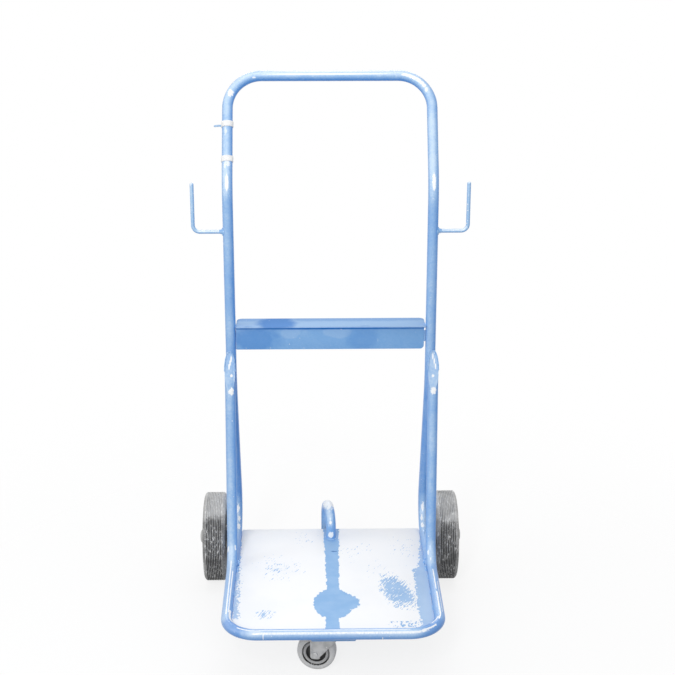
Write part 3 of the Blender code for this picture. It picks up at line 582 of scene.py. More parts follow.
@dataclass(frozen=True)
class PlatePaint:
    """The platform's paint: near-white, partly pale paint and partly painted glare reflected off the sheet,
    with ragged blue patches, one of which is a painted reflection of the tipping arch.
    """

    pale: Colour = (0.93, 0.937, 0.948)
    blue: Colour = (0.31, 0.51, 0.79)
    deep: Colour = (0.2, 0.41, 0.715)
    shade: Colour = (0.035, 0.15, 0.44)
    # A dark line along a fold in the arch's painted reflection, as painted shade.
    crease_shade: Mark = Mark((0.006, 0.062, 0.129), (0.0085, 0.0034, 0.02), 0.85, 0.8)
    streak_turn: float = math.radians(-29)
    streak_size: Place = (1 / 330, 1 / 45, 1.0)
    patches: tuple[Patch, ...] = (
        # The first patch, a long tapering strip down the middle, is a painted reflection of the tipping arch
        # in the sheet.
        Patch(0.001, 0.03, 0.015, 0.142, 1.5, 0.004, taper=0.018),
        Patch(0.001, -0.17, 0.04, 0.063, 1.5, 0.005, Edge.ROUND),
        Patch(0.024, -0.165, 0.032, 0.036, 1.4, 0.007, Edge.ROUND),
        Patch(-0.002, -0.25, 0.014, 0.04, 1.4, 0.005),
        Patch(-0.2035, -0.07, 0.0115, 0.16, 1.05, 0.013, lean=-0.03),
        Patch(0.208, 0.06, 0.016, 0.13, 1.3, 0.01, lean=0.11),
        Patch(0.203, -0.14, 0.03, 0.122, 1.4, 0.013),
        Patch(0.148, -0.256, 0.042, 0.017, 0.72, 0.014, Edge.ROUND),
    )
    streaked: tuple[Patch, ...] = (
        Patch(0.134, -0.118, 0.034, 0.078, 1.22, 0.022, Edge.ROUND, lean=-0.2),
        Patch(0.146, -0.14, 0.024, 0.05, 1.25, 0.018, Edge.ROUND, lean=-0.2),
        Patch(-0.139, -0.209, 0.026, 0.026, 0.8, 0.018, Edge.ROUND),
        Patch(-0.11, -0.01, 0.06, 0.07, 0.62, 0.05, Edge.ROUND),
        Patch(-0.06, 0.12, 0.03, 0.05, 0.6, 0.04, Edge.ROUND),
        Patch(0.05, 0.07, 0.05, 0.06, 0.55, 0.05, Edge.ROUND),
        Patch(0.16, 0.08, 0.04, 0.08, 0.62, 0.05, Edge.ROUND),
        Patch(0.09, -0.01, 0.04, 0.05, 0.54, 0.05, Edge.ROUND),
    )

    def cover(self, tree: Shader, x: Signal, y: Signal, patches: Sequence[Patch]) -> Signal:
        """How whole the paint is.

        Args:
            tree: the material's tree.
            x, y: the place on the sheet, in metres.
            patches: the patches.

        Returns:
            The largest cover of any patch.
        """
        found: list[Signal] = []
        for patch in patches:
            along = y - patch.y
            across = x - patch.x - along * patch.lean
            if patch.edge is Edge.ROUND:
                far = ((across / patch.half_x) ** 2.0 + (along / patch.half_y) ** 2.0) ** 0.5
                inside = (1.0 - far) * min(patch.half_x, patch.half_y)
            else:
                width = patch.half_x + along * patch.taper
                inside = (width - abs(across)).least(patch.half_y - abs(along))
            found.append(tree.step(inside, -patch.fade, patch.fade) * patch.cover)
        return reduce(Signal.most, found)

    def build(self) -> Finish:
        """Returns: the plate's paint."""
        tree = Shader("plate_paint_bleached")
        x, y, _ = tree.axes()
        x = x + (tree.noise(60.0, 3.0) - 0.5) * 0.008
        elsewhere = tree.stretched((1.0, 1.0, 1.0), (3.7, 1.3, 0.0))
        y = y + (tree.noise(45.0, 3.0, elsewhere) - 0.5) * 0.018
        speckle = tree.noise(1.0, 5.0, tree.stretched((210.0, 120.0, 1.0)))
        slant = {"Vector": tree.at, "Rotation": (0.0, 0.0, self.streak_turn), "Scale": self.streak_size}
        turn = tree.node("ShaderNodeMapping", {"vector_type": "TEXTURE"}, slant)
        blot = tree.noise(1.0, 4.0, tree.stretched((300.0, 150.0, 1.0)))
        streak = tree.noise(1.0, 4.0, turn) * 0.6 + blot * 0.4
        firm = tree.step(self.cover(tree, x, y, self.patches) + (speckle - 0.5) * 2.4, 0.7, 0.8)
        loose = tree.step(self.cover(tree, x, y, self.streaked) + (streak - 0.5) * 3.6, 0.8, 0.98)
        mask = firm.most(loose * 0.9)
        tone = tree.step(tree.noise(28.0, 3.0), 0.35, 0.7)
        blue = tree.mix(tone * 0.5, self.blue, self.deep)
        # Towards both sides the blue is mixed a little towards the near-white.
        blue = tree.mix(tree.step(abs(x), 0.15, 0.19) * 0.22, blue, self.pale)
        # Painted shade along the fold in the arch's painted reflection.
        crease_shade = self.crease_shade.inside(tree) + (speckle - 0.5) * self.crease_shade.ragged
        blue = tree.mix(tree.step(crease_shade, 0.0, 0.5) * self.crease_shade.strength, blue, self.shade)
        haze = tree.step(tree.noise(9.0, 5.0), 0.42, 0.72) * 0.06
        colour = tree.mix(mask, tree.mix(haze, self.pale, self.blue), blue)
        relief = tree.noise(240.0, 3.0) * 0.4 + mask * 0.6
        rough = 0.48 + mask * 0.06 + tree.noise(80.0, 2.0) * 0.12
        normal = tree.bump(relief, 0.0001)
        return tree.done(Base_Color=colour, Roughness=rough, Normal=normal, Specular_IOR_Level=0.3)


@dataclass(frozen=True)
class Webbing:
    """Woven strap."""

    name: str = "strap_webbing"
    white: Colour = (0.93, 0.93, 0.93)
    shade: Colour = (0.76, 0.77, 0.78)
    threads: float = 900.0

    def build(self) -> Finish:
        """Returns: the strap, with a plain weave and grey soiling."""
        tree = Shader(self.name)
        x, y, z = tree.axes()
        up = z * 0.88 + y * 0.48
        weave = ((x - y) * self.threads * 4.0).sine() * (up * self.threads * 4.4).sine()
        soil = tree.step(tree.noise(70.0, 4.0), 0.48, 0.72)
        colour = tree.mix((0.5 - weave * 0.5) * 0.35 + soil * 0.35, self.white, self.shade)
        normal = tree.bump(weave * 0.5 + 0.5, 0.0003)
        return tree.done(Base_Color=colour, Roughness=0.82, Normal=normal, Sheen_Weight=0.15)


@dataclass(frozen=True)
class ZincSteel:
    """Zinc-plated pressed steel."""

    name: str = "zinc_plate"
    bright: Colour = (0.54, 0.545, 0.55)
    dull: Colour = (0.4, 0.405, 0.41)
    metallic: float = 0.55
    roughness: float = 0.34
    bloom: Colour = (0.78, 0.78, 0.77)

    def build(self) -> Finish:
        """Returns: the plating, with spangle, dull smears and white bloom."""
        tree = Shader(self.name)
        smear = tree.noise(55.0, 4.0, warp=0.8)
        cells = {"Vector": tree.at, "Scale": 420.0}
        spangle = tree.node("ShaderNodeTexVoronoi", inputs=cells, out="Distance")
        colour = tree.mix(tree.step(smear, 0.36, 0.66), self.bright, self.dull)
        bloom = tree.dots(150.0, 0.26, 0.1)
        colour = tree.mix(bloom * 0.6, colour, self.bloom)
        rough = self.roughness + smear * 0.18 + bloom * 0.2
        normal = tree.bump(spangle * 0.4 + tree.noise(900.0) * 0.3, 0.00005)
        return tree.done(Base_Color=colour, Roughness=rough, Metallic=self.metallic, Normal=normal)


@dataclass(frozen=True)
class Rubber:
    """Solid rubber, dusty on its crests and paler towards its top, partly dust and partly painted light from
    above, with painted shade in its grooves.
    """

    name: str
    body: Colour
    dust: Colour
    centre: Place
    axle: Place
    radius: float
    groove_shade_band: Span
    tread: Span
    # The colour of the painted shade in the grooves.
    groove: Colour = (0.015, 0.015, 0.015)
    scuff: Colour = (0.8, 0.8, 0.795)
    dust_share: float = 0.55
    soft: float = 0.001
    roughness: float = 0.6

    def build(self) -> Finish:
        """Returns: the rubber, with painted shade in its grooves, dust smears, a painted lighter top, pale
        scuffs and dried drops.
        """
        tree = Shader(self.name)
        across, deep, up = (place - middle for place, middle in zip(tree.axes(), self.centre))
        along = across * self.axle[0] + deep * self.axle[1] + up * self.axle[2]
        far = (across * across + deep * deep + up * up - along * along) ** 0.5
        smear = tree.noise(26.0, 5.0, warp=0.5)
        grain = tree.noise(500.0, 2.0)
        # Paler towards the top: partly dust and partly painted light from above, which also fades the
        # painted groove shade.
        top = tree.step(up + (smear - 0.5) * self.radius * 0.8, self.radius * 0.45, self.radius * 0.95)
        dust_and_top_light = tree.step(smear * 0.55 + grain * 0.45, 0.36, 0.64) * self.dust_share + top * 0.75
        colour = tree.mix(dust_and_top_light.least(1.0), self.body, self.dust)
        # Painted shade in the grooves, between the radii of the groove band.
        low, high = self.groove_shade_band
        (middle, half), soft = self.tread, self.soft
        groove_shade = tree.step(far, high + soft, high) * tree.step(far, low, low + soft)
        groove_shade = groove_shade * tree.step(abs(abs(along) - middle), half + soft, half)
        colour = tree.mix(groove_shade * (0.97 - top * 0.95), colour, self.groove)
        dashes = tree.step(tree.noise(1.0, 4.0, tree.stretched((420.0, 95.0, 95.0))), 0.575, 0.64)
        scuffs = tree.dots(300.0, 0.3, 0.16).most(tree.dots(120.0, 0.19, 0.22)).most(dashes)
        drops = tree.rings(62.0, 0.24, 0.2)
        colour = tree.mix(scuffs.most(drops) * tree.step(smear, 0.3, 0.54) * 0.9, colour, self.scuff)
        normal = tree.bump(grain * 0.6 + smear * 0.4, 0.00015)
        return tree.done(Base_Color=colour, Roughness=self.roughness + dust_and_top_light * 0.2, Normal=normal)


@dataclass(frozen=True)
class MouldedPlastic:
    """Moulded grey plastic."""

    name: str
    body: Colour
    shade: Colour
    roughness: float = 0.42
    dust: Colour = (0.7, 0.7, 0.69)

    def build(self) -> Finish:
        """Returns: the plastic, faintly cloudy, with grain and pale dust."""
        tree = Shader(self.name)
        cloud = tree.noise(40.0, 4.0)
        grain = tree.noise(1100.0, 2.0)
        colour = tree.mix(tree.step(cloud, 0.38, 0.66), self.body, self.shade)
        colour = tree.mix(tree.dots(240.0, 0.26, 0.05) * 0.5, colour, self.dust)
        rough = self.roughness + cloud * 0.2
        return tree.done(Base_Color=colour, Roughness=rough, Normal=tree.bump(grain, 0.00004))


# Meshes

# Places for a plate that stands up, with its outline in (x, z), in (y, z) and in (z, y).
FACING_FRONT = Matrix(((1, 0, 0, 0), (0, 0, -1, 0), (0, 1, 0, 0), (0, 0, 0, 1)))
FACING_SIDE = Matrix(((0, 0, 1, 0), (1, 0, 0, 0), (0, 1, 0, 0), (0, 0, 0, 1)))
STANDING = Matrix(((0, 0, 1, 0), (0, 1, 0, 0), (1, 0, 0, 0), (0, 0, 0, 1)))


@dataclass(frozen=True)
class Corner:
    """A corner of a bent line, rounded by a radius."""

    x: float
    y: float
    z: float
    radius: float = 0.0

    @property
    def place(self) -> Vector:
        """The corner's sharp point."""
        return Vector((self.x, self.y, self.z))


def route(corners: Sequence[Corner], closed: bool = False, step: float = math.radians(4)) -> Line:
    """A line through rounded corners.

    Args:
        corners: the corners in order.
        closed: whether it runs from the last corner back to the first.
        step: the turn between points on a bend.

    Returns:
        The line's points.
    """
    line: Line = []
    for i, corner in enumerate(corners):
        middle = corner.place
        at_end = not closed and i in (0, len(corners) - 1)
        back = (corners[i - 1].place - middle).normalized()
        ahead = (corners[(i + 1) % len(corners)].place - middle).normalized()
        turn = 0.0 if at_end else math.pi - back.angle(ahead)
        if corner.radius == 0 or turn < 1e-5:
            line.append(middle)
            continue
        start = middle + back * corner.radius * math.tan(turn / 2)
        hub = middle + (back + ahead).normalized() * corner.radius / math.cos(turn / 2)
        count = max(2, math.ceil(turn / step))
        axis = ahead.cross(back)
        line += [hub + Matrix.Rotation(turn * k / count, 3, axis) @ (start - hub) for k in range(count + 1)]
    return line


def with_tips(line: Line, radius: float) -> Line:
    """Adds points near both ends of a line.

    Args:
        line: the line.
        radius: the radius of its round tips.

    Returns:
        The longer line.
    """

    def near(end: Vector, after: Vector) -> Line:
        """The points that a round tip needs near one end."""
        ahead = (after - end).normalized() * min(radius, (after - end).length * 0.9)
        return [end] + [end + ahead * share for share in (0.03, 0.12, 0.28, 0.5, 0.76, 1.0)]

    return near(line[0], line[1]) + line[1:-1] + near(line[-1], line[-2])[::-1]


def settle(work: Work, mesh: bpy.types.Mesh) -> None:
    """Merges doubles, turns faces outwards, smooths them and keeps sharp edges crisp.

    Args:
        work: the mesh being worked on, which is freed.
        mesh: the mesh that takes the result.
    """
    bmesh.ops.remove_doubles(work, verts=work.verts, dist=TINY)
    bmesh.ops.recalc_face_normals(work, faces=work.faces)
    for face in work.faces:
        face.smooth = True
    for edge in work.edges:
        edge.smooth = len(edge.link_faces) == 2 and edge.calc_face_angle(0.0) < CREASE
    work.to_mesh(mesh)
    work.free()
    record_light_facing(mesh)


def record_light_facing(mesh: bpy.types.Mesh) -> None:
    """Records how far each corner of each face is turned towards the light, which the paints turn into
    painted light and shade.
    """
    layer = mesh.attributes.get(LIGHT_FACING) or mesh.attributes.new(LIGHT_FACING, "FLOAT", "CORNER")
    layer.data.foreach_set("value", [normal.vector.dot(LIGHT_DIRECTION) for normal in mesh.corner_normals])


def solid(name: str, work: Work, material: Finish) -> Piece:
    """An object from a working mesh.

    Args:
        name: its name.
        work: the mesh, which is freed.
        material: its finish.

    Returns:
        The object, at the origin.
    """
    mesh = bpy.data.meshes.new(name)
    mesh.materials.append(material)
    settle(work, mesh)
    obj = bpy.data.objects.new(name, mesh)
    bpy.context.scene.collection.objects.link(obj)
    return obj


def plain(obj: Piece) -> Piece:
    """Turns an object's modifiers into a plain mesh.

    Args:
        obj: the object, which keeps no modifier.

    Returns:
        The object.
    """
    bpy.context.view_layer.update()
    ready = obj.evaluated_get(bpy.context.evaluated_depsgraph_get())
    mesh = bpy.data.meshes.new_from_object(ready)
    obj.modifiers.clear()
    old, obj.data = obj.data, mesh
    bpy.data.meshes.remove(old)
    work = bmesh.new()
    work.from_mesh(mesh)
    settle(work, mesh)
    return obj


def turns(count: int) -> list[float]:
    """The angles of equal steps round a full turn."""
    return [2 * math.pi * k / count for k in range(count)]


def circle(radius: float, count: int) -> Profile:
    """Points round a circle about (0, 0)."""
    return [(radius * math.cos(angle), radius * math.sin(angle)) for angle in turns(count)]


def arc(centre: Span, radius: float, start: float, turn: float, count: int) -> Profile:
    """Points on an arc of count steps, from the angle start on through the angle turn, in degrees."""
    angles = [math.radians(start + turn * k / count) for k in range(count + 1)]
    return [(centre[0] + radius * math.cos(a), centre[1] + radius * math.sin(a)) for a in angles]


def lathe(work: Work, profile: Profile, way: Matrix, sides: int) -> None:
    """Turns a profile about the local Z of a place.

    Args:
        work: the mesh to add to.
        profile: (radius, height) points. It closes on itself unless it starts on the axis.
        way: the place.
        sides: steps round the axis.
    """
    rings = []
    for radius, height in profile:
        if radius < TINY:
            rings.append([work.verts.new(way @ Vector((0, 0, height)))])
            continue
        rings.append([work.verts.new(way @ Vector((u, v, height))) for u, v in circle(radius, sides)])
    pairs = list(zip(rings, rings[1:]))
    if len(rings[0]) > 1 and len(rings[-1]) > 1:
        pairs.append((rings[-1], rings[0]))
    for low, high in pairs:
        for i in range(sides):
            k = (i + 1) % sides
            corners = [low[i % len(low)], low[k % len(low)], high[k % len(high)], high[i % len(high)]]
            work.faces.new(list(dict.fromkeys(corners)))


def turned(name: str, profile: Profile, way: Matrix, sides: int, finish: Finish) -> Piece:
    """A piece turned on a lathe.

    Args:
        name: its name.
        profile: (radius, height) points, as for lathe.
        way: its place, with Z along its axis.
        sides: steps round the axis.
        finish: its material.

    Returns:
        The piece.
    """
    work = bmesh.new()
    lathe(work, profile, way, sides)
    return solid(name, work, finish)


def mirrored(upper: Profile, middle: Sequence[Span] = ()) -> Profile:
    """A closed profile from its upper half, which runs from the inside out, and the points in the middle."""
    return [*upper, *middle, *((radius, -height) for radius, height in reversed(upper))]


def inset(outline: Profile, amount: float) -> Profile:
    """An outline moved inwards.

    Args:
        outline: its points, counter-clockwise.
        amount: how far.

    Returns:
        The moved points.
    """
    moved = []
    for i, point in enumerate(outline):
        here = Vector(point)
        before = (here - Vector(outline[i - 1])).normalized()
        after = (Vector(outline[(i + 1) % len(outline)]) - here).normalized()
        normal = Vector((-before.y - after.y, before.x + after.x))
        normal = normal.normalized() if normal.length > TINY else Vector((-before.y, before.x))
        stretch = max(0.4, normal.dot(Vector((-before.y, before.x))))
        moved.append(tuple(here + normal * amount / stretch))
    return moved


def slab(work: Work, outline: Profile, thickness: float, way: Matrix, edge: float) -> None:
    """A plate with softly rounded edges, its middle plane on the local XY of a place.

    Args:
        work: the mesh to add to.
        outline: its outline, counter-clockwise.
        thickness: across the plane.
        way: the place.
        edge: the radius of its edges.
    """
    half = thickness / 2
    layers = [(edge, -half), (edge * 0.3, edge * 0.3 - half), (0.0, edge - half)]
    layers += [(amount, -height) for amount, height in reversed(layers)]
    rings = []
    for amount, height in layers:
        rings.append([work.verts.new(way @ Vector((u, v, height))) for u, v in inset(outline, amount)])
    for low, high in zip(rings, rings[1:]):
        for i in range(len(outline)):
            k = (i + 1) % len(outline)
            work.faces.new([low[i], low[k], high[k], high[i]])
    work.faces.new(rings[0][::-1])
    work.faces.new(rings[-1])


def cut_plate(
    name: str, outline: Profile, thickness: float, way: Matrix, edge: float, finish: Finish
) -> Piece:
    """A piece cut from plate, with softly rounded edges.

    Args:
        name: its name.
        outline: its outline, counter-clockwise.
        thickness: of the plate.
        way: its place, with its middle plane on the local XY.
        edge: the radius of its edges.
        finish: its material.

    Returns:
        The piece.
    """
    work = bmesh.new()
    slab(work, outline, thickness, way, edge)
    return solid(name, work, finish)


def folded_sheet(
    name: str, rows: Sequence[Row], columns: int, thickness: float, edge: float, material: Finish
) -> Piece:
    """A bent sheet, from the rows of its middle surface.

    Args:
        name: the object's name.
        rows: both ends of each straight row, in order along the bend.
        columns: faces across each row.
        thickness: of the sheet.
        edge: the radius of its edges.
        material: its finish.

    Returns:
        The sheet as a plain mesh.
    """
    work = bmesh.new()
    shares = [k / columns for k in range(columns + 1)]
    grid = [[work.verts.new(start.lerp(end, share)) for share in shares] for start, end in rows]
    for low, high in zip(grid, grid[1:]):
        for k in range(columns):
            work.faces.new([low[k], low[k + 1], high[k + 1], high[k]])
    obj = solid(name, work, material)
    wall = obj.modifiers.new("wall", "SOLIDIFY")
    wall.thickness = thickness
    wall.offset = 0.0
    wall.use_even_offset = True
    soften = obj.modifiers.new("soften", "BEVEL")
    soften.width = edge
    soften.segments = 2
    soften.angle_limit = math.radians(50)
    return plain(obj)


def bored(obj: Piece, ways: Sequence[Matrix], radius: float, reach: float, sides: int = 28) -> None:
    """Cuts round holes through an object, which becomes a plain mesh.

    Args:
        obj: the object.
        ways: each hole's place, with its axis along the local Z.
        radius: of the holes.
        reach: how far each cut runs to either side.
        sides: steps round a hole.
    """
    work = bmesh.new()
    for way in ways:
        lathe(work, mirrored([(0.0, reach), (radius, reach)]), way, sides)
    drill = solid("drill", work, obj.data.materials[0])
    cut = obj.modifiers.new("holes", "BOOLEAN")
    cut.object = drill
    cut.operation = "DIFFERENCE"
    cut.solver = "EXACT"
    plain(obj)
    bpy.data.objects.remove(drill)


def flat_route(corners: Sequence[tuple[float, float, float]]) -> Profile:
    """The points of a closed flat outline with (u, v, radius) corners, counter-clockwise."""
    line = route([Corner(u, v, 0.0, radius) for u, v, radius in corners], closed=True, step=math.radians(8))
    return [(point.x, point.y) for point in line]


# Geometry nodes


class GeoTree(NodeKit):
    """A Geometry Nodes tree with named inputs."""

    def __init__(self, name: str, inputs: dict[str, str]) -> None:
        """Args: name: the tree's name. inputs: socket types by name, after the geometry."""
        super().__init__(bpy.data.node_groups.new(name, "GeometryNodeTree"))
        face = self.tree.interface
        kinds = {"Geometry": "NodeSocketGeometry", **inputs}
        self.keys: dict[str, str] = {}
        for key, kind in kinds.items():
            self.keys[key] = face.new_socket(key, in_out="INPUT", socket_type=kind).identifier
        face.new_socket("Geometry", in_out="OUTPUT", socket_type="NodeSocketGeometry")
        entry = self.tree.nodes.new("NodeGroupInput")
        self.given = {s.name: Signal(self.tree, s) for s in entry.outputs if s.name}

    def close(self, shape: Signal) -> None:
        """Ends the tree with real geometry and the finish."""
        shape = self.node("GeometryNodeRealizeInstances", inputs={"Geometry": shape})
        parts = {"Geometry": shape, "Material": self.given["Material"]}
        self.node("NodeGroupOutput", inputs={"Geometry": self.node("GeometryNodeSetMaterial", inputs=parts)})

    def apply(self, obj: Piece, **values: Any) -> Piece:
        """Runs the tree on an object.

        Args:
            obj: the object, whose mesh is the tree's geometry.
            values: the tree's inputs by name.

        Returns:
            The object with the result as a plain mesh.
        """
        modifier = obj.modifiers.new(self.tree.name, "NODES")
        modifier.node_group = self.tree
        for name, value in values.items():
            modifier[self.keys[name]] = value
        return plain(obj)


def carrier(
    name: str, places: Sequence[Sequence[float]], edges: Sequence[tuple[int, int]] = ()
) -> Piece:
    """An object of loose points and edges for a tree to work on.

    Args:
        name: its name.
        places: the points.
        edges: pairs of point numbers.

    Returns:
        The object.
    """
    mesh = bpy.data.meshes.new(name)
    mesh.from_pydata([tuple(place) for place in places], list(edges), [])
    obj = bpy.data.objects.new(name, mesh)
    bpy.context.scene.collection.objects.link(obj)
    return obj


class Sweep:
    """Round bars, tubes and weld beads, swept along lines by one tree."""

    grain: float = 260.0
    unevenness: float = 4.0
    pitch: float = 0.0032
    least_tip: float = 0.02

    def __init__(self) -> None:
        """Builds the tree: round tips by the distance to the nearer end, ripples by the distance along."""
        kinds = {"Radius": "NodeSocketFloat", "Sides": "NodeSocketInt", "Tips": "NodeSocketFloat"}
        kinds |= {"Ripple": "NodeSocketFloat", "Pitch": "NodeSocketFloat", "Material": "NodeSocketMaterial"}
        tree = GeoTree("sweep_round_bar", kinds)
        given = tree.given
        curve = tree.node("GeometryNodeMeshToCurve", inputs={"Mesh": given["Geometry"]})
        along = tree.node("GeometryNodeSplineParameter", out="Length")
        whole = tree.node("GeometryNodeSplineLength", out="Length")
        near = (along.least(whole - along) / given["Radius"]).least(1.0).most(self.least_tip)
        tip = (near * 2.0 - near * near) ** 0.5
        place = tree.node("GeometryNodeInputPosition")
        noise = tree.node(
            "ShaderNodeTexNoise", {"noise_dimensions": "4D"},
            {"Vector": place, "W": float(SEED), "Scale": self.grain, "Detail": 1.0}, "Fac",
        )
        wave = (along * (2 * math.pi) / given["Pitch"]).sine() + (noise - 0.5) * self.unevenness
        radius = given["Radius"] * (1.0 + given["Tips"] * (tip - 1.0)) * (1.0 + given["Ripple"] * wave)
        ring = {"Resolution": given["Sides"], "Radius": 1.0}
        profile = tree.node("GeometryNodeCurvePrimitiveCircle", {"mode": "RADIUS"}, ring)
        parts = {"Curve": curve, "Profile Curve": profile, "Scale": radius, "Fill Caps": True}
        tree.close(tree.node("GeometryNodeCurveToMesh", inputs=parts))
        self.tree = tree

    def run(
        self, name: str, lines: Sequence[Line], radius: float, material: Finish, sides: int = 40,
        tips: bool = False, ripple: float = 0.0, closed: bool = False,
    ) -> Piece:
        """Sweeps a round section along lines.

        Args:
            name: the object's name.
            lines: the centre lines.
            radius: of the section.
            material: the finish.
            sides: steps round the section.
            tips: whether the ends are round.
            ripple: how far the radius swells and shrinks, as a share of it.
            closed: whether each line closes on itself.

        Returns:
            The swept solid as a plain mesh.
        """
        places, edges = [], []
        for line in lines:
            first = len(places)
            places += with_tips(line, radius) if tips else line
            edges += [(i, i + 1) for i in range(first, len(places) - 1)]
            if closed:
                edges.append((len(places) - 1, first))
        obj = carrier(name, places, edges)
        sizes = {"Radius": radius, "Sides": sides, "Tips": float(tips), "Ripple": ripple}
        return self.tree.apply(obj, **sizes, Pitch=self.pitch, Material=material)


class Repeat:
    """Copies of one small piece, set on points and turned about X by the points' turn."""

    def __init__(self) -> None:
        """Builds the tree."""
        kinds = {"Piece": "NodeSocketObject", "Material": "NodeSocketMaterial"}
        tree = GeoTree("repeat_piece", kinds)
        piece = tree.node("GeometryNodeObjectInfo", inputs={"Object": tree.given["Piece"]}, out="Geometry")
        stored = {"data_type": "FLOAT"}
        turn = tree.node("GeometryNodeInputNamedAttribute", stored, {"Name": "turn"}, "Attribute")
        spin = tree.node("ShaderNodeCombineXYZ", inputs={"X": turn})
        parts = {"Points": tree.given["Geometry"], "Instance": piece, "Rotation": spin}
        tree.close(tree.node("GeometryNodeInstanceOnPoints", inputs=parts))
        self.tree = tree

    def run(
        self, name: str, piece: Piece, places: Sequence[Sequence[float]], angles: Sequence[float],
        material: Finish,
    ) -> Piece:
        """Copies a piece, which is then removed.

        Args:
            name: the new object's name.
            piece: what is copied, built round the origin.
            places: where the copies go.
            angles: each copy's turn about X.
            material: the finish.

        Returns:
            All copies as one plain mesh.
        """
        obj = carrier(name, places)
        obj.data.attributes.new("turn", "FLOAT", "POINT").data.foreach_set("value", list(angles))
        made = self.tree.apply(obj, Piece=piece, Material=material)
        bpy.data.objects.remove(piece)
        return made


# Sub-assemblies


class Shop:
    """The trees and finishes that the sub-assemblies share."""

    def __init__(self) -> None:
        """Builds every tree and finish once."""
        self.sweep = Sweep()
        self.repeat = Repeat()
        self.paint = BluePaint().build()
        self.handle_paint = BluePaint(
            "handle_paint_worn", mid=(0.315, 0.508, 0.785), painted_highlights=HANDLE_HIGHLIGHTS
        ).build()
        self.hoop_paint = BluePaint(
            "hoop_paint_worn", mid=(0.3, 0.495, 0.785), painted_highlights=HOOP_HIGHLIGHTS + RIM_HIGHLIGHT_LINES, dark_patches=RIM_PAINTED_SHADE
        ).build()
        self.arch_paint = BluePaint("arch_paint_worn", painted_highlights=ARCH_HIGHLIGHTS).build()
        # The hook's pale colour is a painted highlight along the top of its arm.
        self.hook_paint = BluePaint(
            "hook_paint_chipped", (0.15, 0.365, 0.73), (0.39, 0.585, 0.81), (0.76, 0.84, 0.94),
            chips=0.36,
        ).build()
        self.rail_paint = BluePaint(
            "rail_paint_worn", (0.15, 0.362, 0.715), (0.25, 0.457, 0.765), (0.375, 0.55, 0.8),
            shade=(0.01, 0.165, 0.56), gloss=0.0, dark_patches=RAIL_SHADE_AND_PATCHES, pale_patches=RAIL_PALE_PATCHES,
        ).build()
        self.weld = WeldPaint().build()
        self.plate = PlatePaint().build()
        self.webbing = Webbing().build()
        self.tail_webbing = Webbing("strap_tail_webbing", (0.4, 0.56, 0.76), (0.28, 0.45, 0.68)).build()
        self.zinc = ZincSteel().build()
        self.bare_steel = ZincSteel("axle_steel", (0.56, 0.56, 0.57), (0.4, 0.4, 0.41), 0.8, 0.3).build()
        self.tyre = Rubber(
            "tyre_rubber_dusty", body=(0.15, 0.15, 0.152), dust=(0.56, 0.56, 0.555),
            centre=(0.0, 0.2005, 0.1), axle=(1.0, 0.0, 0.0), radius=0.1,
            groove_shade_band=(0.0955, 0.0987), tread=(0.261, 0.0182),
        ).build()
        heading = math.radians(10)
        self.caster_rubber = Rubber(
            "caster_rubber_grey", body=(0.62, 0.62, 0.62), dust=(0.72, 0.72, 0.715),
            centre=(-0.033, -0.1987, 0.04), axle=(math.sin(heading), math.cos(heading), 0.0), radius=0.04,
            groove_shade_band=(0.0258, 0.0282), tread=(0.0, 0.05), roughness=0.5,
        ).build()
        self.rim = MouldedPlastic("rim_moulding", (0.2, 0.2, 0.205), (0.27, 0.27, 0.27)).build()
        self.cap = MouldedPlastic("cap_moulding", (0.5, 0.5, 0.5), (0.6, 0.6, 0.595), 0.36).build()
        self.core = MouldedPlastic("caster_core_moulding", (0.36, 0.36, 0.365), (0.46, 0.46, 0.46)).build()
        # A near-black web, painted shade for the recess inside the caster's core.
        self.core_web = MouldedPlastic(
            "caster_web_moulding", (0.03, 0.03, 0.032), (0.055, 0.055, 0.055)
        ).build()


def seat(obj: Piece, body: Body, slot: Slot, *nodes: str) -> None:
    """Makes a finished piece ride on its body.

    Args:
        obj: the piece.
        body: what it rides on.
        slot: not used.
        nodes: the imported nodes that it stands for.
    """
    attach(obj, body.value)
    if nodes:
        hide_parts(*nodes)
    LOG.info("%s rides on %s, %d faces", obj.name, body.value, len(obj.data.polygons))


def redress(node: str, finish: Finish) -> None:
    """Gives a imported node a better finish.

    Args:
        node: the node's name.
        finish: its new material.
    """
    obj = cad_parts[node]
    for slot in obj.material_slots:
        slot.material = finish
    LOG.info("%s keeps its packed shape", node)


@dataclass
class Assembly:
    """Some of the cart's pieces, built with the shared trees and finishes."""

    shop: Shop

    def build(self) -> None:
        """Builds the pieces. Each sub-assembly has its own way."""
        raise NotImplementedError

    def weld(
        self, name: str, lines: Sequence[Line], radius: float, ripple: float,
        closed: bool = False, sides: int = 10,
    ) -> None:
        """Lays painted weld beads on the frame.

        Args:
            name: the name of the beads, which are one piece.
            lines: their centre lines.
            radius: of a bead.
            ripple: how far a bead swells and shrinks, as a share of its radius.
            closed: whether each line closes on itself. An open bead has round tips.
            sides: steps round a bead.
        """
        finish = self.shop.weld
        welds = self.shop.sweep.run(name, lines, radius, finish, sides, not closed, ripple, closed)
        seat(welds, Body.FRAME, Slot.FRAME_PAINT)


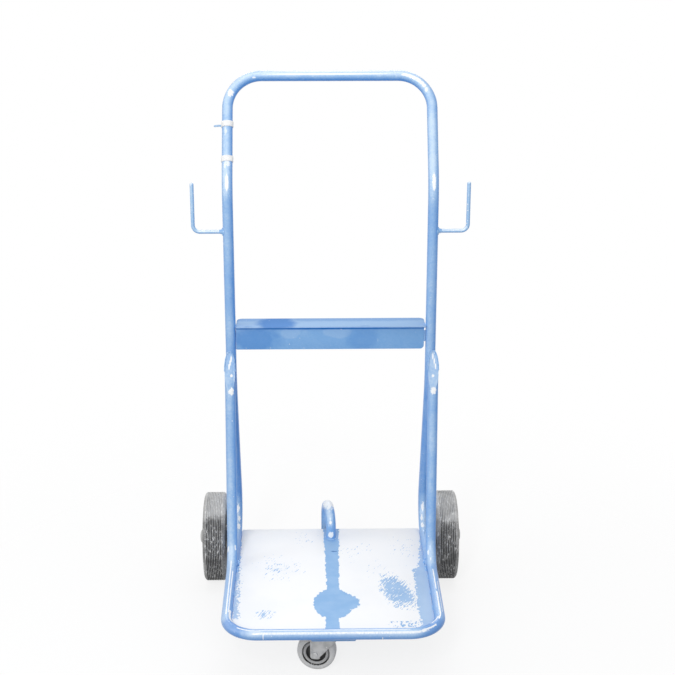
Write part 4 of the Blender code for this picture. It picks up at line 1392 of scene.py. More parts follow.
@dataclass
class TubeFrame(Assembly):
    """The two bent tubes, with their scarf joints."""

    radius: float = 0.011
    half_spread: float = 0.2105
    rim_z: float = 0.128
    foot_y: float = -0.006
    rear_corner_y: float = 0.2335
    upright_y: float = 0.0955
    knee_z: float = 0.52
    bend_z: float = 0.939
    handle_y: float = 0.2105
    handle_z: float = 1.145
    bends: tuple[float, ...] = (0.07, 0.25, 0.15, 0.07)
    hoop_half: float = 0.214
    hoop_top_half: float = 0.213
    hoop_top_y: float = 0.0732
    hoop_top_z: float = 0.609
    hoop_corner_y: float = 0.0205
    front_y: float = -0.2895
    hoop_bends: tuple[float, ...] = (0.25, 0.06, 0.064)
    right_drift: float = 0.003
    scarf_low: Span = (0.0622, 0.505)
    scarf_high: Span = (0.0842, 0.587)
    scarf_floor: float = 0.4
    tip_bead: float = 0.0012
    tip_lift: Span = (-0.0006, 0.0004)
    foot_bead: float = 0.0022
    foot_ring: float = 0.0114
    foot_ring_y: float = 0.003
    foot_ring_lean: float = 0.62
    foot_ring_flat: float = 0.004
    fill_bead: float = 0.0027
    fill_start: Place = (0.2011, -0.0315, 0.1288)
    fill_step: float = 0.0014

    def handle_line(self) -> Line:
        """The handle tube's centre line, from the left foot to the right one."""

        def leg(x: float) -> list[Corner]:
            """One side, from the foot up."""
            foot, knee, upright, top = self.bends
            return [
                Corner(x, self.foot_y, self.rim_z),
                Corner(x, self.rear_corner_y, self.rim_z, foot),
                Corner(x, self.upright_y, self.knee_z, knee),
                Corner(x, self.upright_y, self.bend_z, upright),
                Corner(x, self.handle_y, self.handle_z, top),
            ]

        return route(leg(-self.half_spread) + leg(self.half_spread)[::-1])

    def hoop_line(self) -> Line:
        """The platform hoop's centre line, from the left scarf round the rim to the right one."""

        def leg(side: int) -> list[Corner]:
            """One side, from the scarf down."""
            top, low = self.hoop_top_x(side), side * self.hoop_half
            knee, foot, rim = self.hoop_bends
            return [
                Corner(top, self.hoop_top_y, self.hoop_top_z),
                Corner(top, self.hoop_top_y, self.scarf_low[1], knee),
                Corner(low, self.hoop_corner_y, self.rim_z, foot),
                Corner(low, self.front_y, self.rim_z, rim),
            ]

        return route(leg(-1) + leg(1)[::-1])

    def hoop_top_x(self, side: int) -> float:
        """Where one leg of the hoop ends. The right one stands a little further out."""
        return side * self.hoop_top_half + (self.right_drift if side > 0 else 0.0)

    def scarf_z(self, y: float) -> float:
        """The height of the scarf cut at a depth."""
        (y_low, z_low), (y_high, z_high) = self.scarf_low, self.scarf_high
        return z_low + (y - y_low) * (z_high - z_low) / (y_high - y_low)

    def cut_scarfs(self, hoop: Piece) -> None:
        """Cuts both ends of the hoop along the slant and closes them.

        Args:
            hoop: the hoop's tube. Only what stands above the scarf's floor is cut.
        """
        work = bmesh.new()
        work.from_mesh(hoop.data)
        high = [v for v in work.verts if v.co.z > self.scarf_floor]
        chosen = set(high)
        geometry = high + [e for e in work.edges if chosen.issuperset(e.verts)]
        geometry += [f for f in work.faces if chosen.issuperset(f.verts)]
        (y_low, z_low), (y_high, z_high) = self.scarf_low, self.scarf_high
        bmesh.ops.bisect_plane(
            work, geom=geometry, clear_outer=True,
            plane_co=(0.0, y_low, z_low), plane_no=(0.0, z_low - z_high, y_high - y_low),
        )
        bmesh.ops.holes_fill(work, edges=[e for e in work.edges if e.is_boundary], sides=0)
        settle(work, hoop.data)

    def scarf_bead(self, side: int) -> Line:
        """The weld round the tip of one scarf, a quarter turn to either side."""
        line = []
        forward, up = self.tip_lift
        for back, out in arc((0.0, 0.0), self.radius, 90, 180, 24):
            y = self.hoop_top_y - back
            line.append(Vector((self.hoop_top_x(side) + out, y + forward, self.scarf_z(y) + up)))
        return line

    def build(self) -> None:
        """Builds both tubes and the welds between them."""
        lines = [self.handle_line()]
        handle = self.shop.sweep.run("handle_tube", lines, self.radius, self.shop.handle_paint, tips=True)
        seat(handle, Body.FRAME, Slot.FRAME_PAINT, "handle_frame")
        hoop = self.shop.sweep.run("hoop_tube", [self.hoop_line()], self.radius, self.shop.hoop_paint)
        self.cut_scarfs(hoop)
        seat(hoop, Body.FRAME, Slot.FRAME_PAINT, "platform_hoop")
        self.weld("scarf_welds", [self.scarf_bead(-1), self.scarf_bead(1)], self.tip_bead, 0.16)
        self.foot_welds()

    def foot_welds(self) -> None:
        """Builds the ring of weld where each foot meets the hoop's corner, and the fill inside it."""
        rings, fills = [], []
        fill_x, fill_y, fill_z = self.fill_start
        for side in (-1, 1):
            ring = []
            for out, up in circle(self.foot_ring, 28):
                y = self.foot_ring_y + max(0.0, up + self.foot_ring_flat) * self.foot_ring_lean
                ring.append(Vector((side * self.half_spread + out, y, self.rim_z + up)))
            rings.append(ring)
            fills.append([Vector((side * fill_x, fill_y + self.fill_step * k, fill_z)) for k in range(20)])
        self.weld("foot_welds", rings, self.foot_bead, 0.14, closed=True)
        self.weld("foot_fills", fills, self.fill_bead, 0.12, sides=12)


@dataclass
class Platform(Assembly):
    """The sheet inside the rim, the channel under it and their welds."""

    half: float = 0.2027
    narrow_half: float = 0.1992
    front_y: float = -0.2782
    step_y: float = -0.0317
    step_run: float = 0.004
    step_corner: float = 0.001
    rear_y: float = 0.1735
    corner: float = 0.0527
    rear_corner: float = 0.006
    top: float = 0.129
    thickness: float = 0.002
    edge: float = 0.0005
    channel_half: float = 0.045
    channel_low: float = 0.1053
    channel_high: float = 0.1267
    channel_wall: float = 0.004
    channel_fold: float = 0.002
    channel_rear_y: float = 0.1685
    bead: float = 0.0016
    bead_step: float = 0.0012
    proud: float = 0.0001
    tack: float = 0.009
    stitch: float = 0.012
    front_tacks: tuple[Span, ...] = (
        (-0.145, 0.009), (-0.072, 0.008), (-0.005, 0.016), (0.07, 0.008), (0.14, 0.009),
    )
    side_tacks: tuple[float, ...] = (-0.19, -0.125, -0.06)
    rear_tacks: tuple[float, ...] = (0.03, 0.1)
    stitches: tuple[float, ...] = (-0.235, -0.15, -0.065, 0.02, 0.105)

    def outline(self) -> Profile:
        """The sheet's outline."""
        right = [
            (self.half, self.front_y, self.corner),
            (self.half, self.step_y, self.step_corner),
            (self.narrow_half, self.step_y + self.step_run, self.step_corner),
            (self.narrow_half, self.rear_y, self.rear_corner),
        ]
        return flat_route(right + [(-x, y, radius) for x, y, radius in reversed(right)])

    def build(self) -> None:
        """Builds the sheet, the channel and the welds along them."""
        level = Matrix.Translation((0, 0, self.top - self.thickness / 2))
        outline, finish = self.outline(), self.shop.plate
        sheet = cut_plate("platform_sheet", outline, self.thickness, level, self.edge, finish)
        seat(sheet, Body.FRAME, Slot.PLATE_PAINT, "platform_plate")
        self.build_channel()
        self.build_welds()

    def build_channel(self) -> None:
        """Builds the folded channel that carries the caster."""
        half, low, high, wall = self.channel_half, self.channel_low, self.channel_high, self.channel_wall
        inner, fold = half - wall, self.channel_fold
        section = [(-half, low, wall), (half, low, wall), (half, high, 0.0), (inner, high, 0.0)]
        section += [(inner, low + wall, fold), (-inner, low + wall, fold)]
        section += [(-inner, high, 0.0), (-half, high, 0.0)]
        middle = Matrix.Translation((0, (self.front_y + self.channel_rear_y) / 2, 0)) @ FACING_FRONT
        outline, length = flat_route(section), self.channel_rear_y - self.front_y
        channel = cut_plate("channel_section", outline, length, middle, self.edge, self.shop.paint)
        seat(channel, Body.FRAME, Slot.FRAME_PAINT, "caster_channel")

    def build_welds(self) -> None:
        """Builds tacks along the rim and stitches along the channel."""
        beads: list[Line] = []

        def lay(start: Place, end: Place) -> None:
            """Adds one straight bead."""
            first, last = Vector(start), Vector(end)
            count = max(3, round((last - first).length / self.bead_step))
            beads.append([first.lerp(last, k / count) for k in range(count + 1)])

        front, level = self.front_y - self.proud, self.top + 0.0003
        for x, reach in self.front_tacks:
            lay((x - reach, front, level), (x + reach, front, level))
        for side in (-1, 1):
            rows = (
                (self.half + self.proud, level, self.tack, self.side_tacks),
                (self.narrow_half + self.proud, level, self.tack, self.rear_tacks),
                (self.channel_half + 2 * self.proud, self.channel_high, self.stitch, self.stitches),
            )
            for x, z, reach, places in rows:
                for y in places:
                    lay((side * x, y - reach, z), (side * x, y + reach, z))
        low = self.channel_low + 0.012
        lay((-0.04, front, low), (0.04, front, low))
        self.weld("platform_welds", beads, self.bead, 0.15)


@dataclass
class CrossRail(Assembly):
    """The angle between the uprights, which carries the pump: a shelf with its lip proud of a face."""

    half: float = 0.1992
    face_half: float = 0.1962
    top: float = 0.64
    low: float = 0.589
    front_y: float = 0.0845
    rear_y: float = 0.1455
    thickness: float = 0.003
    lip: float = 0.0055
    overlap: float = 0.0004
    lip_corner: float = 0.001
    shelf_corner: float = 0.012
    shelf_edge: float = 0.0013
    face_corner: float = 0.008
    face_root: float = 0.002
    face_top: float = 0.0005
    face_edge: float = 0.0007
    bead: float = 0.0017
    bead_step: float = 0.0012
    seam_step: float = 0.0014

    def build(self) -> None:
        """Builds the rail and its welds."""
        half, thick, wide, corner = self.half, self.thickness, self.face_half, self.shelf_corner
        shelf = [(-half, self.front_y, self.lip_corner), (half, self.front_y, self.lip_corner)]
        shelf += [(half, self.rear_y, corner), (-half, self.rear_y, corner)]
        work = bmesh.new()
        level = Matrix.Translation((0, 0, self.top - thick / 2))
        slab(work, flat_route(shelf), thick, level, self.shelf_edge)
        top = self.top - thick + self.overlap
        face = [(-half, self.low, self.face_root), (wide, self.low, self.face_corner)]
        face += [(wide, top, self.face_top), (-half, top, self.face_top)]
        upright = Matrix.Translation((0, self.front_y + self.lip + thick / 2, 0)) @ FACING_FRONT
        slab(work, flat_route(face), thick, upright, self.face_edge)
        rail = solid("cross_rail_angle", work, self.shop.rail_paint)
        seat(rail, Body.FRAME, Slot.FRAME_PAINT, "cross_rail")
        self.weld("rail_welds", self.weld_lines(), self.bead, 0.15)

    def weld_lines(self) -> list[Line]:
        """The welds at both ends of the rail and along the inside of its fold."""
        beads = []
        face_y = self.front_y + self.lip
        for side in (-1, 1):
            heights = [self.top - 0.01 - self.bead_step * k for k in range(22)]
            beads.append([Vector((side * (self.half - 0.0012), face_y + 0.002, z)) for z in heights])
            depths = [self.front_y + 0.006 + self.bead_step * k for k in range(14)]
            beads.append([Vector((side * (self.half + 0.0004), y, self.top - 0.0002)) for y in depths])
        inner_y, inner_z = face_y + self.thickness + 0.0005, self.top - self.thickness - self.overlap
        count = round(2 * self.face_half / self.seam_step)
        shares = [2 * k / count - 1 for k in range(count + 1)]
        return beads + [[Vector((self.face_half * share, inner_y, inner_z)) for share in shares]]


@dataclass
class HoseHook(Assembly):
    """A bent rod on one upright, for a hose or cable."""

    side: Side
    radius: float = 0.004
    upright_x: float = 0.2105
    upright_y: float = 0.0955
    tube_radius: float = 0.011
    z: float = 0.844
    reach: float = 0.072
    rise: float = 0.103
    bend: float = 0.014
    bead: float = 0.0016
    bead_ring: float = 0.0066
    steps: int = 24
    fillet: tuple[Span, ...] = (
        (0.0074, 0.008), (0.007, 0.01), (0.0058, 0.0122), (0.0048, 0.0148), (0.0041, 0.018),
    )

    def build(self) -> None:
        """Builds the rod and the weld at its root."""
        sign, tag = self.side.value, self.side.tag
        x, out = sign * self.upright_x, sign * (self.upright_x + self.reach)
        corners = [
            Corner(x + sign * self.tube_radius * 0.5, self.upright_y, self.z),
            Corner(out, self.upright_y, self.z, self.bend),
            Corner(out, self.upright_y, self.z + self.rise),
        ]
        finish = self.shop.hook_paint
        rod = self.shop.sweep.run(f"hook_rod_{tag}", [route(corners)], self.radius, finish, 20, True)
        seat(rod, Body.FRAME, Slot.FRAME_PAINT, f"hose_hook_{tag}")
        self.weld_root(x)

    def weld_root(self, x: float) -> None:
        """Builds the weld at the rod's root: a fillet that runs out along the rod, and a bead on the tube.

        Args:
            x: the upright's centre.
        """
        sign, tag = self.side.value, self.side.tag
        way = Matrix.Translation((x, self.upright_y, self.z)) @ self.side.outward
        profile = [(0.0, self.fillet[0][1]), *self.fillet, (0.0, self.fillet[-1][1])]
        fillet = turned(f"hook_fillet_{tag}", profile, way, self.steps, self.shop.weld)
        seat(fillet, Body.FRAME, Slot.FRAME_PAINT)
        ring = []
        for back, up in circle(self.bead_ring, self.steps):
            out = math.sqrt(self.tube_radius**2 - back * back)
            ring.append(Vector((x + sign * out, self.upright_y + back, self.z + up)))
        self.weld(f"hook_weld_{tag}", [ring], self.bead, 0.2, closed=True)


@dataclass
class Straps(Assembly):
    """White bands wrapped round the left upright."""

    x: float = -0.2105
    y: float = 0.0955
    z: float = 0.939
    lean: float = math.atan2(0.115, 0.206)
    inner: float = 0.0113
    thickness: float = 0.0012
    half_width: float = 0.006
    soft: float = 0.0008
    lap: float = 0.0012
    upper_at: float = 0.131
    lower_at: float = 0.057
    tail: float = 0.016
    tail_half: float = 0.0022
    tail_drop: float = 0.0022
    tail_sag: float = 0.0012
    tail_swing: float = 0.0008
    tail_rows: int = 9

    def place(self, along: float) -> Matrix:
        """A band's place this far up the slanting run, with its Z along the tube."""
        corner = Matrix.Translation((self.x, self.y, self.z))
        return corner @ Matrix.Rotation(-self.lean, 4, "X") @ Matrix.Translation((0, 0, along))

    def band(self, name: str, along: float) -> Piece:
        """One band: two wraps with soft edges and a lap.

        Args:
            name: its name.
            along: its place up the run.

        Returns:
            The band.
        """
        half, low, high = self.half_width, self.inner, self.inner + self.thickness
        upper = [(high + 0.0001, self.lap), (high, half - self.soft), (low + 0.0007, half), (low, half)]
        lower = [(radius, -height) for radius, height in reversed(upper)]
        return turned(name, lower + [(high - 0.0002, 0.0)] + upper, self.place(along), 48, self.shop.webbing)

    def build(self) -> None:
        """Builds both bands and the loose tail of the upper one."""
        for tag, along in (("lower", self.lower_at), ("upper", self.upper_at)):
            band = self.band(f"strap_band_{tag}", along)
            seat(band, Body.FRAME, Slot.STRAP, f"cable_strap_{tag}")
        way = self.place(self.upper_at)
        rows = []
        for k in range(self.tail_rows + 1):
            share = k / self.tail_rows
            x = -self.inner - 0.0004 - self.tail * share
            drop, half = self.tail_drop + self.tail_sag * share**2, self.tail_half * (1.0 - 0.2 * share**3)
            low, high = (way @ Vector((x, -self.tail_swing * share, z - drop)) for z in (-half, half))
            rows.append((low, high))
        tail = folded_sheet("strap_tail", rows, 6, self.thickness, 0.0003, self.shop.tail_webbing)
        seat(tail, Body.FRAME, Slot.STRAP)


@dataclass
class TippingHoop(Assembly):
    """The small arch from the platform to the axle."""

    radius: float = 0.011
    front_y: float = 0.1285
    rear_y: float = 0.2005
    foot_z: float = 0.1285
    bend_z: float = 0.189
    bend: float = 0.0356
    shift: float = 0.01
    axle_top: float = 0.11
    axle_radius: float = 0.01
    seat_drop: float = 0.004
    bead: float = 0.002
    front_ring: float = 0.0115
    front_ring_z: float = 0.1296
    rear_ring: float = 0.0112
    bead_seat: float = 0.0102

    def build(self) -> None:
        """Builds the arch and the rings of weld at its feet."""
        corners = [
            Corner(0.0, self.front_y, self.foot_z),
            Corner(0.0, self.front_y, self.bend_z, self.bend),
            Corner(-self.shift, self.rear_y, self.bend_z, self.bend),
            Corner(-self.shift, self.rear_y, self.axle_top - self.seat_drop),
        ]
        hoop = self.shop.sweep.run("tipping_arch", [route(corners)], self.radius, self.shop.arch_paint)
        seat(hoop, Body.FRAME, Slot.FRAME_PAINT, "tipping_hoop")
        ring = circle(self.front_ring, 32)
        front = [Vector((out, self.front_y + back, self.front_ring_z)) for out, back in ring]
        rear = []
        for out, back in circle(self.rear_ring, 32):
            off = min(abs(back), self.axle_radius)
            drop = self.axle_radius - math.sqrt(self.bead_seat**2 - off**2)
            rear.append(Vector((out - self.shift, self.rear_y + back, self.axle_top - drop)))
        self.weld("arch_welds", [front, rear], self.bead, 0.15, closed=True)


@dataclass
class RearAxle(Assembly):
    """The axle bar with its brackets, spacers, washers and caps."""

    y: float = 0.2005
    z: float = 0.1
    radius: float = 0.01
    end: float = 0.2939
    chamfer: float = 0.001
    bore: float = 0.0103
    bracket_x: float = 0.2105
    bracket_thickness: float = 0.006
    bracket_edge: float = 0.0008
    bracket_toe: float = 0.034
    bend: Span = (0.1346, 0.198)
    bend_radius: float = 0.0813
    bend_turn: float = 72.9
    eye: float = 0.02
    eye_ring: float = 0.0107
    eye_bead: float = 0.0018
    gusset_bead: float = 0.0021
    spacer: Span = (0.2138, 0.2356)
    spacer_radius: float = 0.015
    spacer_soft: float = 0.0008
    washer: Span = (0.2864, 0.2889)
    washer_radius: float = 0.017
    washer_soft: float = 0.0005
    cap: Span = (0.2892, 0.2967)
    cap_dome: tuple[Span, ...] = (
        (0.0, 0.0), (0.005, 0.0001), (0.0095, 0.0007), (0.013, 0.0021), (0.0152, 0.0041), (0.016, 0.0058),
    )

    def bracket_outline(self) -> Profile:
        """A gusset in (y, z), from the tube's underside to the eye round the axle."""
        (bend_y, bend_z), radius = self.bend, self.bend_radius
        upper = [(bend_y - self.bracket_toe, bend_z - radius)]
        upper += arc(self.bend, radius, -90, self.bend_turn, 18)
        eye = arc((self.y, self.z), self.eye, 20, -120, 20)
        return (upper + eye)[::-1]

    def build(self) -> None:
        """Builds every piece along the axle that stays with the frame."""
        centre = Matrix.Translation((0, self.y, self.z))
        end, radius, chamfer = self.end, self.radius, self.chamfer
        tip = [(0.0, end), (radius - chamfer, end), (radius, end - chamfer)]
        axle = turned("axle_bar", mirrored(tip), centre @ Side.RIGHT.outward, 40, self.shop.bare_steel)
        seat(axle, Body.FRAME, Slot.ZINC, "axle")
        for side in Side:
            self.build_end(side, centre @ side.outward)
            self.build_bracket(side)

    def build_end(self, side: Side, way: Matrix) -> None:
        """Builds the spacer, washer and cap of one end.

        Args:
            side: which end.
            way: its place, with Z out along the axle.
        """

        def ring(name: str, ends: Span, radius: float, soft: float, node: str) -> None:
            """Builds one plain ring with soft edges."""
            low, high = ends
            profile = [(self.bore, low), (radius - soft, low), (radius, low + soft), (radius, high - soft)]
            profile += [(radius - soft, high), (self.bore, high)]
            seat(turned(name, profile, way, 48, self.shop.zinc), Body.FRAME, Slot.ZINC, node)

        tag = side.tag
        ring(f"spacer_sleeve_{tag}", self.spacer, self.spacer_radius, self.spacer_soft, f"axle_spacer_{tag}")
        ring(f"washer_disc_{tag}", self.washer, self.washer_radius, self.washer_soft, f"axle_washer_{tag}")
        low, high = self.cap
        dome = [(radius, high - drop) for radius, drop in self.cap_dome]
        dome += [(0.016, low + 0.0004), (0.0156, low), (0.0, low)]
        cap = turned(f"cap_dome_{tag}", dome, way, 48, self.shop.cap)
        seat(cap, Body.FRAME, Slot.CAP, f"hub_cap_{tag}")

    def build_bracket(self, side: Side) -> None:
        """Builds one gusset and the beads that hold it to the tube.

        Args:
            side: which one.
        """
        x, thick, tag = side.value * self.bracket_x, self.bracket_thickness, side.tag
        place = Matrix.Translation((x, 0, 0)) @ FACING_SIDE
        outline, edge = self.bracket_outline(), self.bracket_edge
        gusset = cut_plate(f"bracket_gusset_{tag}", outline, thick, place, edge, self.shop.paint)
        seat(gusset, Body.FRAME, Slot.FRAME_PAINT, f"axle_bracket_{tag}")
        spots = arc(self.bend, self.bend_radius - 0.0002, -84, 62, 40)
        faces = [x + face * (thick / 2 + 0.0006) for face in (-1, 1)]
        beads = [[Vector((face, *spot)) for spot in spots] for face in faces]
        self.weld(f"gusset_welds_{tag}", beads, self.gusset_bead, 0.15)
        inside, ring = x - side.value * (thick / 2 + 0.0004), circle(self.eye_ring, 36)
        beads = [[Vector((inside, self.y + back, self.z + up)) for back, up in ring]]
        self.weld(f"eye_weld_{tag}", beads, self.eye_bead, 0.15, closed=True)


@dataclass
class RearWheel(Assembly):
    """A rear wheel: ribbed solid tyre on a moulded rim."""

    side: Side
    x: float = 0.261
    y: float = 0.2005
    z: float = 0.1
    outer: float = 0.1
    half_width: float = 0.025
    ribs: int = 10
    groove: float = 0.0019
    groove_shape: tuple[Span, ...] = (
        (0.31, 0.0), (0.25, 0.25), (0.18, 0.92), (0.0, 1.0), (-0.18, 0.92), (-0.25, 0.25), (-0.31, 0.0),
    )
    shoulder: float = 0.0068
    hole_circle: float = 0.046
    hole_radius: float = 0.008
    hole_reach: float = 0.02
    holes: int = 6
    rib_span: Span = (0.025, 0.0668)
    rib_half: float = 0.0012
    rib_depth: float = 0.024
    rib_edge: float = 0.0005

    @property
    def body(self) -> Body:
        """The body of this wheel."""
        return Body[f"WHEEL_{self.side.name}"]

    @property
    def centre(self) -> Place:
        """The wheel's centre."""
        return self.side.value * self.x, self.y, self.z

    @property
    def way(self) -> Matrix:
        """The wheel's place, with Z out along the axle."""
        return Matrix.Translation(self.centre) @ self.side.outward

    def tyre_profile(self) -> Profile:
        """A tyre with ribs, a stepped shoulder and a ring on its side."""
        outer, half = self.outer, self.half_width
        side = [
            (0.0734, half - 0.0034), (0.0746, half - 0.0012), (0.0778, half - 0.0002),
            (0.0812, half - 0.0001), (0.0822, half - 0.0009), (0.0838, half - 0.0009), (0.0848, half),
            (outer - 0.0118, half), (outer - 0.0075, half - 0.0006), (outer - 0.0038, half - 0.0021),
            (outer - 0.0014, half - 0.0042), (outer - 0.0003, half - 0.0062), (outer, half - self.shoulder),
        ]
        tread = half - self.shoulder
        pitch = 2 * tread / (self.ribs - 0.45)
        middle = []
        for k in range(self.ribs - 1):
            at = tread - pitch * (k + 0.775)
            shape = self.groove_shape
            middle += [(outer - self.groove * deep, at + pitch * across) for across, deep in shape]
        return mirrored(side, middle)

    def build(self) -> None:
        """Builds the tyre and the rim, and dresses the bush."""
        tag = self.side.tag
        tyre = turned(f"tyre_ribbed_{tag}", self.tyre_profile(), self.way, 128, self.shop.tyre)
        seat(tyre, self.body, Slot.TYRE, f"tyre_{tag}")
        self.build_rim()
        redress(f"wheel_bush_{tag}", self.shop.bare_steel)

    def build_rim(self) -> None:
        """Builds the rim's band, web and hub, cuts its holes and adds ribs between them."""
        tag = self.side.tag
        upper = [
            (0.0153, 0.024), (0.016, 0.0247), (0.024, 0.0247), (0.025, 0.0238), (0.0256, 0.0092),
            (0.027, 0.0066), (0.03, 0.0054), (0.06, 0.005), (0.0642, 0.0058), (0.066, 0.0082),
            (0.0668, 0.021), (0.0678, 0.0219), (0.0722, 0.0219), (0.073, 0.0212),
        ]
        rim = turned(f"rim_disc_{tag}", mirrored(upper), self.way, 72, self.shop.rim)
        spots = circle(self.hole_circle, self.holes)
        ways = [self.way @ Matrix.Translation((u, v, 0)) for u, v in spots]
        bored(rim, ways, self.hole_radius, self.hole_reach)
        seat(rim, self.body, Slot.RIM, f"wheel_rim_{tag}")
        (low, high), half = self.rib_span, self.rib_half
        outline = flat_route([(low, -half, 0.0), (high, -half, 0.0), (high, half, 0.0), (low, half, 0.0)])
        rib = cut_plate("rim_rib", outline, self.rib_depth, STANDING, self.rib_edge, self.shop.rim)
        between = [angle + math.pi / self.holes for angle in turns(self.holes)]
        places = [self.centre] * self.holes
        ribs = self.shop.repeat.run(f"rim_ribs_{tag}", rib, places, between, self.shop.rim)
        seat(ribs, self.body, Slot.RIM)


@dataclass
class Caster(Assembly):
    """The swivel caster: plate, bolts, pressed fork and grey wheel."""

    y: float = -0.2045
    heading: float = math.radians(-10)
    trail: float = 0.0335
    axle_z: float = 0.04
    fit: float = 0.0003
    plate_top: float = 0.105
    plate_low: float = 0.102
    plate_half: Span = (0.043, 0.051)
    plate_corner: float = 0.008
    plate_edge: float = 0.0007
    bolt_half: Span = (0.03, 0.04)
    bolt_radius: float = 0.00675
    bolt_head: float = 0.0042
    crown_mid: float = 0.09495
    leg_y: float = 0.01925
    thickness: float = 0.0025
    sheet_edge: float = 0.0006
    fold: float = 0.0042
    eye: float = 0.0105
    eye_turn: float = math.radians(-35)
    knee: Span = (0.0175, 0.0837)
    nose: float = 0.026
    nose_radius: float = 0.016
    nose_flat: float = 0.005
    rear: float = 0.0455
    rear_taper: float = 0.0015
    pin_hole: float = 0.0056
    shank: float = 0.004
    shank_bore: float = 0.0043
    hex_radius: float = 0.0065
    wheel_radius: float = 0.04

    @property
    def swivel(self) -> Matrix:
        """The fork's frame: on the swivel axis, with the wheel trailing towards its -X."""
        return Matrix.Translation((0, self.y, 0)) @ Matrix.Rotation(self.heading, 4, "Z")

    @property
    def wheel_way(self) -> Matrix:
        """The wheel's place, with Z along its axle, towards the fork's -Y."""
        hub = self.swivel @ Matrix.Translation((-self.trail, 0, self.axle_z))
        return hub @ Matrix.Rotation(math.pi / 2, 4, "X")

    def build(self) -> None:
        """Builds the mount, the fork and the wheel."""
        self.build_mount()
        self.build_fork()
        self.build_bolt()
        self.build_wheel()

    def build_mount(self) -> None:
        """Builds the top plate with its raised race and the bolt heads under it."""
        half_x, half_y = self.plate_half
        signs = ((-1, -1), (1, -1), (1, 1), (-1, 1))
        corners = [(half_x * a, self.y + half_y * b, self.plate_corner) for a, b in signs]
        middle = Matrix.Translation((0, 0, (self.plate_top + self.plate_low) / 2))
        thick = self.plate_top - self.plate_low
        plate = cut_plate("mount_plate", flat_route(corners), thick, middle, self.plate_edge, self.shop.zinc)
        seat(plate, Body.FRAME, Slot.ZINC, "caster_top_plate")
        low, high = self.crown_mid + self.thickness / 2 + self.fit, self.plate_low - self.fit
        waist = (low + high) / 2
        race = [(0.0095, low), (0.0165, low), (0.0182, low + 0.0006), (0.0185, low + 0.0016)]
        race += [(0.0172, waist - 0.0004), (0.0172, waist + 0.0004)]
        race += [(radius, low + high - height) for radius, height in reversed(race[:4])]
        ring = turned("race_ring", race, Matrix.Translation((0, self.y, 0)), 56, self.shop.zinc)
        seat(ring, Body.FRAME, Slot.ZINC, "caster_race")
        wide, tall = self.bolt_radius, self.bolt_head
        head = [(0.0, tall), (wide * 0.8, tall), (wide * 0.93, tall * 0.93), (wide, tall * 0.8)]
        head += [(wide, 0.0), (0.0, 0.0)]
        bolt = turned("bolt_head", head, Matrix.Rotation(math.pi, 4, "X"), 6, self.shop.zinc)
        across, along = self.bolt_half
        under = self.plate_low - self.fit
        places = [(a * across, self.y + b * along, under) for a in (-1, 1) for b in (-1, 1)]
        heads = self.shop.repeat.run("mount_bolts", bolt, places, [0.0] * len(places), self.shop.zinc)
        seat(heads, Body.FRAME, Slot.ZINC, *(f"caster_bolt_{k}" for k in range(1, 5)))
        for node in [f"caster_nut_{k}" for k in range(1, 5)] + ["caster_kingpin"]:
            redress(node, self.shop.zinc)

    def leg_edges(self, z: float) -> Span:
        """The rear and front edges of the fork's leg at one height."""
        corner_x = -self.trail + self.eye * math.cos(self.eye_turn)
        corner_z = self.axle_z + self.eye * math.sin(self.eye_turn)
        knee_x, knee_z = self.knee
        drop = self.axle_z - z
        chord = max(1e-9, self.eye**4 - min(drop, self.eye) ** 4) ** 0.25 if drop > 0 else self.eye
        share = min(1.0, max(0.0, (z - corner_z) / (knee_z - corner_z)))
        front = corner_x + (knee_x - corner_x) * share if z > corner_z else chord - self.trail
        return -self.trail - chord, front

    def crown_edges(self, y: float) -> Span:
        """The rear and front edges of the fork's crown this far off its middle."""
        off = max(0.0, abs(y) - self.nose_flat)
        bulge = math.sqrt(max(0.0, self.nose_radius**2 - off**2))
        return -self.rear + self.rear_taper * abs(y) / self.leg_y, self.nose - self.nose_radius + bulge

    def fork_rows(self) -> list[Row]:
        """The rows of the fork's middle surface, from one leg's foot over the crown to the other's."""
        top, side = self.crown_mid, self.leg_y
        shares = (0.004, 0.03, 0.09, 0.18, 0.3, 0.45, 0.62, 0.8, 1.0)
        heights = [self.axle_z - self.eye + self.eye * share for share in shares]
        heights += [self.axle_z + (top - self.fold - self.axle_z) * k / 10 for k in range(1, 11)]
        half = [(side, z, *self.leg_edges(z)) for z in heights]
        for k in range(1, 8):
            share = k / 7
            angle = math.pi / 2 * share
            y = side - self.fold * (1 - math.cos(angle))
            z = top - self.fold * (1 - math.sin(angle))
            edges = zip(self.leg_edges(z), self.crown_edges(y))
            half.append((y, z, *(first + (last - first) * share for first, last in edges)))
        flat = [(side - self.fold) * (1 - k / 6) for k in range(1, 7)]
        half += [(y, top, *self.crown_edges(y)) for y in flat]
        every = [(-y, z, a, b) for y, z, a, b in half] + half[-2::-1]
        way = self.swivel
        return [(way @ Vector((a, y, z)), way @ Vector((b, y, z))) for y, z, a, b in every]

    def build_fork(self) -> None:
        """Builds the pressed fork with its kingpin hole, and a raised boss round each end of its axle."""
        rows, thick = self.fork_rows(), self.thickness
        fork = folded_sheet("fork_pressing", rows, 14, thick, self.sheet_edge, self.shop.zinc)
        bored(fork, [Matrix.Translation((0, self.y, self.crown_mid))], self.pin_hole, self.thickness)
        seat(fork, Body.FORK, Slot.ZINC, "caster_fork")
        out, bore = self.leg_y + self.thickness / 2, self.shank_bore
        boss = [(bore, out - 0.001), (0.0088, out - 0.001), (0.0086, out + 0.0003), (0.0078, out + 0.0006)]
        work = bmesh.new()
        for turn in (math.pi, 0.0):
            way = self.wheel_way @ Matrix.Rotation(turn, 4, "X")
            lathe(work, boss + [(bore, out + 0.0006)], way, 36)
        seat(solid("fork_bosses", work, self.shop.zinc), Body.FORK, Slot.ZINC)

